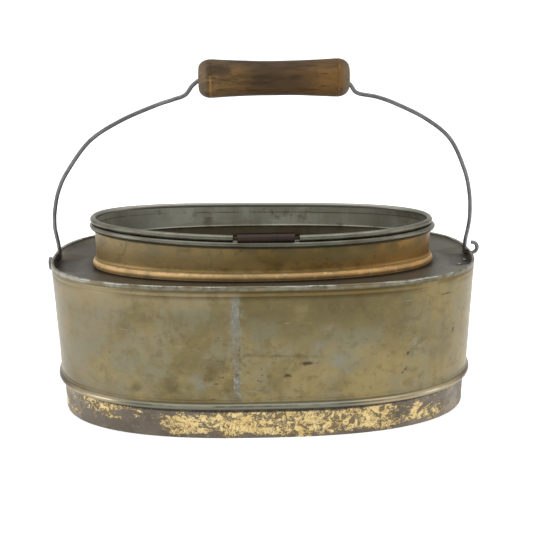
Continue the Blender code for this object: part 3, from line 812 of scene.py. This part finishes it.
def wood_finish():
    """Turned hardwood: dark brown and greasy, with broken grain along it and worn golden ends."""
    f = Finish("turned_wood")
    grain = f.noise(250, 6, 0.7, stretch=(0.16, 1, 1), shift=0.5, warp=0.35)
    bands = f.noise(60, stretch=(0.3, 1, 1), shift=2.6, warp=0.6)
    cloud = f.noise(46, shift=6.4)
    f.color = f.mix(f.step(bands, 0.38, 0.64), (0.074, 0.04, 0.016), (0.043, 0.027, 0.013))
    f.coat((0.026, 0.015, 0.007), f.step(grain, 0.46, 0.62), 0.6)
    # Warm worn wood towards both ends; grease has darkened the middle.
    length = (GRIP_HIGH.x - GRIP_LOW.x) / MM
    from_left = f.minus(f.x, GRIP_LOW.x / MM)
    from_right = f.minus(GRIP_HIGH.x / MM, f.x)
    middle = f.band(from_left, 0.42 * length, 0.62 * length, 20)
    warm = f.times(f.minus(1, middle), f.step(cloud, 0.4, 0.6), f.step(grain, 0.66, 0.44))
    f.coat((0.15, 0.086, 0.028), warm, 0.62)
    right = f.times(f.step(from_right, 38, 10), f.step(bands, 0.34, 0.58))
    f.coat((0.172, 0.084, 0.02), right, 0.55)
    # Golden rings where the rounded ends begin, broken by wear, and grey-brown ends.
    for from_end, start in ((from_left, 8), (from_right, 7.2)):
        ring = f.times(f.band(from_end, start, start + 0.7, 0.7), f.step(cloud, 0.4, 0.56),
                       f.step(grain, 0.42, 0.56))
        f.coat((0.3, 0.17, 0.045), ring, 0.8)
    ends = f.most(f.step(from_left, 7.2, 4), f.step(from_right, 6.8, 4))
    f.coat((0.118, 0.09, 0.062), ends, 0.7)
    left = f.times(f.step(from_left, 26, 9), f.step(bands, 0.62, 0.4))
    f.coat((0.23, 0.145, 0.062), left, 0.7)
    # Painted shade: the grip darkened along its top and bottom.
    top_bottom_shade = f.step(f.absolute(f.above(GRIP_Z)), 6, 12)
    f.coat((0.024, 0.016, 0.009), top_bottom_shade, 0.45)
    pores = f.step(f.noise(850, 3, 0.6, stretch=(0.12, 1, 1), shift=5.5), 0.62, 0.7)
    f.coat((0.015, 0.009, 0.005), pores, 0.7)
    roughness = f.lerp(grain, 0.5, 0.7)
    f.shader.inputs["Specular IOR Level"].default_value = 0.12
    height = f.plus(f.times(grain, -0.5), f.times(pores, -0.8))
    return f.finish(roughness, 0, height, 0.22)


# ---------------------------------------------------------------- body and base
def body_dents(p):
    """Shallow dents and waves in the body wall, none at its beads."""
    free = ease(p.z, BODY_BEAD_Z + 6 * MM, BODY_BEAD_Z + 18 * MM)
    free *= 1 - ease(p.z, EDGE_Z - 20 * MM, EDGE_Z - 9 * MM)
    return free * (bumps(p, 0.38, 17) + bumps(p, 0.16, 52, (3, 1, 2)))


def sheet_ring(face, oval, thickness, warp=None):
    """Rows of a bent sheet swept round an oval, and a zone number for each: 0 face, 1 back."""
    back = back_of_sheet(face, thickness)
    section = face + back[::-1]
    rows = [ring_row(oval, offset, z, warp) for offset, z in section]
    return rows, [0] * len(face) + [1] * len(back)


def pivot_hole_cutters():
    """Bars through the raised edge where the bail's ends pass."""
    inner, outer = 144 * MM, 154 * MM
    ends = [[Vector((side * x, 0, PIVOT_Z)) for x in (inner, outer)] for side in (-1, 1)]
    return [bar_cutter(start, end, PIVOT_HOLE_R, 24) for start, end in ends]


def make_body_wall():
    low = BODY_BEAD_Z
    face = profile(low, (-2.4, -2.2), (-1.75, -2.2))
    face += arc(-1.75 * MM, low, 2.2 * MM, -72, 62, 16)
    face += profile(low, (-1.1, 2.6), (-1.5, 3.2), (-1.52, 4.4), (-1.75, 4.7), (-1.76, 5), (-1.6, 5.4))
    face += profile(EDGE_Z, (-0.2, -7.5), (-0.42, -7.1), (-0.42, -6.8), (-0.12, -6.2), (-0.16, -4.3),
                    (-0.52, -3.7), (-0.52, -1))
    rows, zones = sheet_ring(refine(face, 3 * MM), BODY_OVAL, SHEET, body_dents)
    mesh = cut_away(rows_mesh("body_wall", rows, zones=zones), pivot_hole_cutters())
    add_piece("body_wall_skin", mesh, ["lacquer", "inside"], "pail", "body_wall")


def make_seam():
    """Thin uneven run of solder on the body's face, over the lap seam."""
    low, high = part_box("seam_solder")
    half_width = (high.x - low.x) / 2
    half_length, half_depth, power = BODY_OVAL[:3]
    foot_in, top_in = -1.72 * MM, -0.3 * MM
    height_steps, width_steps = 110, 12

    def point(across, z, front):
        ragged = 0.8 + 0.62 * noise.noise(Vector((across * 1.4, z * 210, 4)))
        x = SEAM_X + across * half_width * ragged
        y = -half_depth * (1 - abs(x / half_length) ** power) ** (1 / power)
        share = (z - (BODY_BEAD_Z + 5.4 * MM)) / (EDGE_Z - 12.9 * MM - BODY_BEAD_Z)
        wall = foot_in + (top_in - foot_in) * share + body_dents(Vector((x, y, z)))
        crown = max(0.3 * MM * (1 - across ** 2) + bumps(Vector((x, y, z)), 0.1, 420), 0.03 * MM)
        normal = oval_normal(BODY_OVAL, Vector((x, y)))
        q = Vector((x, y)) + normal * (wall + (crown if front else -0.05 * MM))
        return Vector((q.x, q.y, z))

    heights = [low.z + (high.z - low.z) * i / height_steps for i in range(height_steps + 1)]
    widths = [2 * k / width_steps - 1 for k in range(width_steps + 1)]
    lines = [[point(across, z, True) for z in heights] for across in widths]
    lines += [[point(-across, z, False) for z in heights] for across in widths]
    mesh = rows_mesh("seam_solder", lines, around=False)
    add_piece("seam_run", mesh, ["seam"], "pail", "seam_solder")


def make_base_band():
    top = -2.3 * MM
    face = profile(0, (-2.95, 0), (-2.82, 0.5), (-2.78, 2.3), (-2.92, 2.8))
    face += [(top, BODY_BEAD_Z - 2.6 * MM), (top, BASE_HIGH.z)]

    def dents(p):
        return bumps(p, 0.2, 30, (7, 0, 0)) * ease(p.z, 0, 6 * MM)

    rows, zones = sheet_ring(refine(face, 2 * MM), BASE_OVAL, SHEET, dents)
    mesh = rows_mesh("base_band", rows, zones=zones)
    add_piece("base_band_skin", mesh, ["base", "rust"], "pail", "base_band")


def make_bottom_plate():
    """Flat pan with a turned-up edge. Its floor is pressed slightly wavy by use."""
    outer, inner = -3.8 * MM, -4.3 * MM
    floor = 0.8 * MM
    edge = ring_row(BASE_OVAL, inner, floor)
    center = [Vector((0, 0, floor)) for _ in edge]

    def waves(p):
        return bumps(p, 0.25, 22)

    section = [(outer - 0.4 * MM, 0), (outer, 0.4 * MM), (outer, 5 * MM), (inner, 5 * MM), (inner, 1.4 * MM)]
    rows = [[p * 0.02 for p in ring_row(BASE_OVAL, outer, 0)]]
    rows += [ring_row(BASE_OVAL, offset, z) for offset, z in section]
    for i in range(25):
        rows.append(between_rows(edge, center, 0.04 * i, floor, waves if i else None))
    for p in rows[0]:
        p.z = 0
    mesh = rows_mesh("bottom_plate", rows, looped=False)
    add_piece("bottom_pan", mesh, ["rust"], "pail", "bottom_plate")


# ---------------------------------------------------------------- shoulder, collar and rim
def clear_of_hooks(p):
    """0 beside the bail's hooks and the rivets, where the plate stays low, and 1 elsewhere."""
    away_back = ease(p.y, 6 * MM, 15 * MM)
    away_front = ease(-p.y, 22 * MM, 32 * MM)
    away_along = 1 - ease(abs(p.x), 122 * MM, 136 * MM)
    return max(away_back, away_front, away_along)


def make_shoulder_plate():
    """Dished plate, high at the body's edge and low at the collar, with its hidden flanges."""
    low_z = PLATE_Z + 0.4 * MM
    high_z = EDGE_Z - 2.5 * MM
    flange_top = EDGE_Z - 1.2 * MM
    collar_face = -1.6 * MM

    def lower(row):
        for p in row:
            if p.z > low_z:
                p.z = low_z + (p.z - low_z) * clear_of_hooks(p)
        return row

    def sag(p):
        return bumps(p, 0.3, 24, (0, 5, 0))

    plate = [lower(ring_row(BODY_OVAL, offset * MM, EDGE_Z - down * MM))
             for offset, down in ((-1.72, 1.75), (-2.05, 2.15), (-2.6, 2.38), (-3.6, 2.5))]
    inner = ring_row(RIM_OVAL, 3.2 * MM, PLATE_Z)
    level = ring_row(BODY_OVAL, -3.6 * MM, high_z)
    for i in range(1, 16):
        share = i / 16
        height = PLATE_Z + (high_z - PLATE_Z) * (1 - share) ** 0.85
        plate.append(lower(between_rows(level, inner, share, height, sag)))
    plate.append(inner)
    collar = [ring_row(RIM_OVAL, collar_face, PLATE_Z), ring_row(RIM_OVAL, collar_face, PLATE_Z + 3.6 * MM)]
    collar_back = [ring_row(RIM_OVAL, collar_face - SHEET, PLATE_Z + 3.6 * MM),
                   ring_row(RIM_OVAL, collar_face - SHEET, PLATE_Z - SHEET)]
    under = [[p - Vector((0, 0, SHEET)) for p in row] for row in reversed(plate[3:])]
    flange_back = [lower(ring_row(BODY_OVAL, -1.14 * MM, EDGE_Z - 2.3 * MM)),
                   ring_row(BODY_OVAL, -1.14 * MM, flange_top)]
    rows = [ring_row(BODY_OVAL, -1.6 * MM, flange_top)] + plate + collar
    top_rows = len(rows)
    rows += collar_back + under + flange_back
    zones = [0] * top_rows + [1] * (len(rows) - top_rows)
    cutters = pivot_hole_cutters() + rivet_hole_cutters()
    mesh = cut_away(rows_mesh("shoulder_plate", rows, zones=zones), cutters)
    add_piece("shoulder_skin", mesh, ["shoulder", "inside"], "pail", "shoulder_plate")


def make_edge_bead():
    """Rounded bead along the body's top edge, thick with solder."""
    section = [(-0.5, -3.6), (-0.16, -3.5), (-0.02, -3.1), (0.04, -2.4)]
    section += arc(-0.9, -1.05, 1, -10, 165, 12)
    section += [(-1.86, -1.15), (-1.8, -1.3), (-1.55, -1.05), (-0.5, -1), (-0.5, -2.2)]

    def lumps(p):
        return bumps(p, 0.1, 150) + bumps(p, 0.06, 420) - 0.06 * MM

    rows = []
    for offset, down in section:
        proud = offset > -0.4
        rows.append(ring_row(BODY_OVAL, offset * MM, EDGE_Z + down * MM, lumps if proud else None))
    mesh = rows_mesh("edge_solder", rows)
    add_piece("edge_bead", mesh, ["edge"], "pail", "edge_solder", sharp_deg=50)


def make_collar():
    """Band round the mouth, with a round bead and a small step at its foot."""
    foot = COLLAR_LOW.z
    face = [(1.35 * MM, foot)]
    face += arc(-0.45 * MM, foot + 2.45 * MM, 2.35 * MM, -42, 62, 14)
    face += profile(foot, (0.3, 4.85), (0.25, 5.15), (0.32, 5.45), (0.15, 5.85), (-0.4, 6.15), (-0.7, 6.7))
    face += [(-0.8 * MM, COLLAR_HIGH.z)]

    def dents(p):
        free = ease(p.z, foot + 7 * MM, foot + 11 * MM)
        return free * 0.16 * MM * (noise.noise(p * 34) - 0.3)

    rows, zones = sheet_ring(refine(face, 1.6 * MM), RIM_OVAL, SHEET, dents)
    mesh = rows_mesh("collar_wall", rows, zones=zones)
    add_piece("collar_skin", mesh, ["golden", "inside"], "pail", "collar_wall")


def pulled_in(p):
    """The upper rod sits a little further in than the lower bead at the right end."""
    return -1.5 * MM * ease(p.x, 80 * MM, 118 * MM) * ease(p.z, LOWER_BEAD_Z + MM, RIM_Z - MM)


def make_rim_band():
    """Skirt, lower bead, neck and the roll round the wire, plain inside, cut away at the hinge."""
    skirt = -1.6 * MM
    stem = [(skirt, SKIRT_Z), (skirt, LOWER_BEAD_Z - 2.5 * MM), (-0.6 * MM, LOWER_BEAD_Z - 2 * MM)]
    stem += arc(0.4 * MM, LOWER_BEAD_Z + 0.4 * MM, 2.15 * MM, -120, 112, 22)
    stem += profile(LOWER_BEAD_Z, (-0.6, 2.55), (-1.1, 2.8)) + [(skirt, RIM_Z - 0.9 * MM)]
    roll = arc(0, RIM_Z - 0.1 * MM, 1.6 * MM, 180, -100, 28)
    face = refine(stem + roll, 1.6 * MM)
    roll_back = back_of_sheet(roll, SHEET)[::-1]
    inside = refine([(skirt - SHEET, RIM_Z - 0.9 * MM), (skirt - SHEET, SKIRT_Z)], 2.5 * MM)
    section = face + roll_back + inside
    rows = [ring_row(RIM_OVAL, offset, z, pulled_in) for offset, z in section]
    zones = [0] * (len(face) + len(roll_back)) + [1] * len(inside)
    front, behind = -60 * MM, -40 * MM
    notch = box_cutter((NOTCH_X[0], front, LOWER_BEAD_Z + 2.5 * MM), (NOTCH_X[1], behind, RIM_Z + 10 * MM))
    mesh = cut_away(rows_mesh("rim_band", rows, zones=zones), [notch])
    add_piece("rim_skin", mesh, ["rim", "rim_inside"], "pail", "rim_band")


def make_skirt_hem():
    """Fold along the lower edge of the rim band's skirt, inside the mouth."""
    section = arc(-2.3 * MM, SKIRT_Z + 0.5 * MM, 0.42 * MM, 0, 330, 11)
    mesh = rows_mesh("skirt_hem", [ring_row(RIM_OVAL, offset, z) for offset, z in section])
    add_piece("skirt_hem", mesh, ["rim_inside"], "pail", "rim_band", sharp_deg=180, in_place=False)


def make_rim_wire():
    rows = [ring_row(RIM_OVAL, RIM_WIRE_R * u, RIM_Z + RIM_WIRE_R * v, pulled_in) for u, v in circle(12)]
    add_piece("rim_wire_bar", rows_mesh("rim_wire", rows), ["sleeve"], "pail", "rim_wire")


def lathe_rows(outline, origin, axes, steps, warp=None):
    """Rows turned about the first of three axes, from (distance along it, radius)."""
    axis, first, second = (Vector(direction) for direction in axes)
    rows = []
    for along, radius in outline:
        row = []
        for u, v in circle(steps):
            out = first * u + second * v
            here = origin + axis * along + out * radius
            row.append(here + out * warp(here) if warp else here)
        rows.append(row)
    return rows


def rivet_center(name):
    low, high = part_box(name)
    return Vector(((low.x + high.x) / 2, (low.y + high.y) / 2, PLATE_Z))


def rivet_hole_cutters():
    reach = Vector((0, 0, 3 * MM))
    hole_r = 1.1 * MM
    return [bar_cutter(rivet_center(name) - reach, rivet_center(name) + reach, hole_r, 20)
            for name in RIVETS]


def make_rivets():
    """Domed heads above the plate, on shanks with a flat head below it."""
    dome_angles = [math.radians(90 * i / 8) for i in range(8)]
    outline = [(-1.9, 0.01), (-1.85, 1.1), (-1.3, 1.55), (-1.05, 1.5), (-1.05, 0.8), (0.65, 0.8)]
    outline += [(0.65 + 0.95 * math.sin(a), 1.75 * math.cos(a)) for a in dome_angles] + [(1.6, 0.01)]
    points = [(along * MM, radius * MM) for along, radius in outline]
    for name in RIVETS:
        mesh = rows_mesh(name, lathe_rows(points, rivet_center(name), (UP, ALONG, ACROSS), 24))
        add_piece(name + "_head", mesh, ["wire"], "pail", name)


# ---------------------------------------------------------------- moving pieces
def bail_path():
    """Line of the bail wire, from the hook at the left end to the hook at the right end."""
    bend = 1.6 * MM
    inside = 146.1 * MM
    outside = 151.6 * MM
    curl = 3.9 * MM

    def in_plane(*pairs):
        return [Vector((x * MM, 0, z * MM)) for x, z in pairs]

    def turn(center_x, center_z, start_deg, end_deg, radius=bend, steps=8):
        points = arc(center_x, center_z, radius, start_deg, end_deg, steps)
        return [Vector((x, 0, z)) for x, z in points]

    flat_curl = [Vector((-outside, y, z)) for y, z in arc(-curl, PIVOT_Z - bend, curl, -252, 0, 27)[:-1]]
    left_hook = flat_curl + turn(-outside + bend, PIVOT_Z - bend, 180, 90)
    left_hook += turn(-inside - bend, PIVOT_Z + bend, -90, 0)
    left_shank = in_plane((-146.1, 113), (-146.5, 117.5), (-147.3, 123), (-148, 130),
                          (-147, 141), (-143.4, 155), (-136, 169.1), (-119.2, 190),
                          (-97.2, 203.6), (-73.1, 213.6), (-61, 217.5), (-52.4, 220.6),
                          (-46.6, 227.4))
    through_grip = in_plane((-39, 231.3), (-20, 231.3), (5, 231.3), (30, 231.3), (52.5, 231.3))
    right_shank = in_plane((60.2, 226.8), (65.5, 220.8), (79, 218), (93.1, 212.9),
                           (114, 202.5), (131.4, 188.5), (142.5, 167.2), (147.2, 150),
                           (148.5, 134), (147.7, 124), (146.6, 117.5), (146.1, 113))
    right_hook = turn(inside + bend, PIVOT_Z + bend, 180, 270)
    right_hook += turn(151.3 * MM, PIVOT_Z + curl, -90, 100, radius=curl, steps=24)

    middle = [left_hook[-1]] + left_shank + through_grip + right_shank + [right_hook[0]]
    return left_hook[:-1] + smooth_path(middle, 9) + right_hook[1:]


def make_bail():
    mesh = rows_mesh("bail_wire", tube_rows(bail_path(), BAIL_WIRE_R, 20, rough=0.02), looped=False)
    add_piece("bail_bar", mesh, ["wire"], "bail", "bail_wire", sharp_deg=60)


def make_grip():
    """Turned grip: rounded ends, a groove beside each, a slight waist and a flared bore."""
    length = GRIP_HIGH.x - GRIP_LOW.x
    end_r = (GRIP_HIGH.y - GRIP_LOW.y) / 2
    waist_r = 11.6 * MM
    face_r = 6.9 * MM
    rounding = 8.3 * MM
    flare, flare_r, bore_r = 9.5 * MM, 5.2 * MM, 2.2 * MM
    half = [(0, flare_r), (0, face_r - MM)]
    for i in range(13):
        a = math.radians(90 * i / 12)
        half.append((rounding * (1 - math.cos(a)), face_r + (end_r - face_r) * math.sin(a)))
    half += [(rounding + 0.25 * MM, end_r - 0.22 * MM), (rounding + 0.55 * MM, end_r - 0.02 * MM)]
    waist = []
    first = rounding + 1.2 * MM
    for i in range(41):
        share = i / 40
        dip = (end_r - waist_r) * (1 - abs(2 * share - 1) ** 2)
        waist.append((first + (length - 2 * first) * share, end_r - dip))
    bore = [(length - flare, bore_r), (flare, bore_r)]
    outline = half + waist + [(length - along, radius) for along, radius in reversed(half)] + bore

    def wear(p):
        return bumps(p, 0.14, 60) + bumps(p, 0.05, 240) - 0.06 * MM

    origin = Vector((GRIP_LOW.x, 0, GRIP_Z))
    mesh = rows_mesh("grip", lathe_rows(outline, origin, (ALONG, ACROSS, UP), 80, wear))
    add_piece("grip_wood", mesh, ["wood"], "handle", "grip")


def make_sleeve():
    """Sheet rolled well over once round the rim wire, ending in a torn lip."""
    lip_deg = 55
    sheet = 0.5 * MM
    outer_r = 2.85 * MM
    lip_r = 3.9 * MM
    wound_deg = 500
    inner_r = 1.62 * MM + sheet
    face, back = [], []
    for i in range(57):
        share = i / 56
        a = math.radians(lip_deg - wound_deg * (1 - share))
        radius = inner_r + (outer_r - inner_r) * ease(share, 0.15, 0.8)
        face.append((radius * math.cos(a), radius * math.sin(a)))
        back.append(((radius - sheet) * math.cos(a), (radius - sheet) * math.sin(a)))
    lip = math.radians(lip_deg)
    steps = 60
    rows = []
    for i in range(steps + 1):
        share = i / steps
        x = SLEEVE_LOW.x + (SLEEVE_HIGH.x - SLEEVE_LOW.x) * share
        torn = lip_r - 0.35 * MM * (1 + noise.noise(Vector((x * 220, 3, 1))))
        tip = (torn * math.cos(lip + 0.05), torn * math.sin(lip + 0.05))
        tip_back = (torn * math.cos(lip - 0.1), torn * math.sin(lip - 0.1))
        section = face[:-1] + [tip, tip_back] + back[-2::-1]
        row = []
        for n, (u, v) in enumerate(section):
            bump = 0.05 * MM * noise.noise(Vector((x * 260, u * 900, v * 900)))
            ragged = 0
            if i in (0, steps):
                ragged = 0.35 * MM * noise.noise(Vector((n * 0.21, share * 9, 2)))
                ragged = abs(ragged) * (1 if i == 0 else -1)
            row.append(Vector((x + ragged, SLEEVE_AT.y + u + bump, SLEEVE_AT.z + v + bump)))
        rows.append(row)
    mesh = rows_mesh("hinge_sleeve", rows, looped=False)
    add_piece("hinge_roll", mesh, ["sleeve"], "sleeve", "hinge_sleeve")


# ---------------------------------------------------------------- stage, light and camera
def make_stage():
    """Plain white floor that glows a little, as paper lit from below does."""
    mesh = bpy.data.meshes.new("floor")
    size = 6
    mesh.from_pydata([(-size, -size, 0), (size, -size, 0), (size, size, 0), (-size, size, 0)],
                     [], [(0, 1, 2, 3)])
    f = Finish("floor_paper")
    grain = f.noise(3, 2, 0.5)
    f.shader.inputs["Emission Color"].default_value = (1, 1, 1, 1)
    f.shader.inputs["Emission Strength"].default_value = 0.42
    f.color = f.mix(grain, (0.9, 0.9, 0.9), (0.93, 0.93, 0.93))
    mesh.materials.append(f.finish(0.85, 0))
    floor = add_object("floor", mesh)
    floor.location.z = -0.2 * MM


def make_world():
    """Soft white room that is darker at eye level behind the viewer, so that metal shows its shape."""
    world = bpy.data.worlds.new("studio")
    bpy.context.scene.world = world
    w = Nodes(world, "Generated")
    toward_front = w.times(w.step(w.parts["Y"], 0, -0.8), 0.65)
    low_down = w.step(w.parts["Z"], 0.8, 0.35)
    background = world.node_tree.nodes["Background"]
    w.plug(background.inputs["Color"], w.step(w.times(toward_front, low_down), 1, 0))
    background.inputs["Strength"].default_value = 1.02


def add_light(name, place, aim, size, power):
    data = bpy.data.lights.new(name, "AREA")
    data.shape = "RECTANGLE"
    data.size, data.size_y = size
    data.energy = power
    light = add_object(name, data)
    light.location = place
    light.rotation_euler = (Vector(aim) - Vector(place)).to_track_quat("-Z", "Y").to_euler()


def make_lights():
    aim = (0, 0, 0.1)
    add_light("top_light", (0, -0.15, 1.25), aim, (1.3, 0.9), 9)
    add_light("left_light", (-1.15, -0.75, 0.55), aim, (0.5, 1), 4.5)
    add_light("right_light", (1.2, -0.6, 0.5), aim, (0.5, 1), 3)


def make_camera():
    """The viewing angle: 17 degrees down, almost square to the front, a normal lens."""
    data = bpy.data.cameras.new("camera")
    data.sensor_width = 36
    data.lens = 58.85
    camera = add_object("camera", data)
    camera.location = (-11.8 * MM, -624.4 * MM, 286.7 * MM)
    turn = Matrix.Rotation(math.radians(-1.83), 3, "Z")
    tilt = Matrix.Rotation(math.radians(90 - 17.42), 3, "X")
    roll = Matrix.Rotation(math.radians(-0.4), 3, "Z")
    camera.rotation_euler = (turn @ tilt @ roll).to_euler()
    bpy.context.scene.camera = camera


# ---------------------------------------------------------------- assembly
# Places of wear on the front: x, z, half the width, half the height in millimetres, and the lean.
BARE_PATCHES = (
    (-46, 44, 5, 3.2, 0), (-44, 40, 3.4, 3.4, -0.4), (-38, 40.8, 5.2, 1.6, 0), (39, 73.5, 1.6, 8.8, 0.42),
    (35.2, 66.8, 2.8, 3.4, 0.5), (47, 55.5, 4.2, 3.6, 0), (99.8, 64, 2.6, 2.8, 0), (109, 51.5, 2, 1.8, 0),
    (-6.1, 36.4, 3, 2.4, 0), (-100, 52.6, 4, 1.4, -2), (-20, 102, 3, 5, 0),
)
THIN_PATCHES = (
    (-42, 91.5, 16.5, 8.5, 0), (45, 51, 13, 12, 0.3), (52, 74, 15, 6, 0), (-95, 56, 20, 12, -0.4),
    (36, 43, 11, 4, 0), (-2, 75, 12, 9, 0),
)
STAINS = (
    (-26.2, 40, 5, 6.4, 0), (-64.2, 39.5, 4.4, 6.6, 0), (-86.6, 36.5, 3.6, 4.2, 0), (21, 30, 12, 1, 0),
    (-34, 50, 10, 8, 0.6), (8, 60, 17, 1.6, -4),
)
SPECK_AREAS = (
    (-34, 49, 11, 9, 0), (-8, 48, 11, 8, 0),
)
DARK_MARKS = (
    (28.2, 54.6, 5.6, 1.1, 1), (13.7, 46, 2.2, 1, 0), (91, 42.4, 0.9, 1.4, 0.7), (93, 45, 0.7, 1.2, 0.7),
    (94.4, 56.8, 0.8, 1.2, 0), (-33.5, 40.8, 1.8, 0.7, 0), (127.8, 66.3, 0.8, 2.4, 0),
)
COLLAR_PATCHES = (
    (-48, 115, 14, 6, 0), (-80, 117, 12, 4, 0), (62, 118, 15, 4, 0),
)

FINISH = {
    "lacquer": lacquer_finish(),
    "golden": golden_finish(),
    "rim": rim_finish(),
    "rim_inside": rim_inside_finish(),
    "edge": solder_finish(),
    "seam": seam_finish(),
    "shoulder": shoulder_finish(),
    "inside": inside_finish("inside_tin", (0.25, 0.222, 0.155), (0.18, 0.145, 0.082)),
    "base": base_finish(),
    "rust": rust_finish("rusty_tin", (0.11, 0.075, 0.05), (0.07, 0.048, 0.034)),
    "sleeve": rust_finish("rusty_sleeve", (0.028, 0.013, 0.006), (0.013, 0.007, 0.004)),
    "wire": wire_finish(),
    "wood": wood_finish(),
}


make_body_wall()
make_seam()
make_base_band()
make_bottom_plate()
make_shoulder_plate()
make_edge_bead()
make_collar()
make_rim_band()
make_skirt_hem()
make_rim_wire()
make_rivets()
make_bail()
make_grip()
make_sleeve()
make_stage()
make_world()
make_lights()
make_camera()

bpy.context.scene.view_settings.view_transform = "Standard"
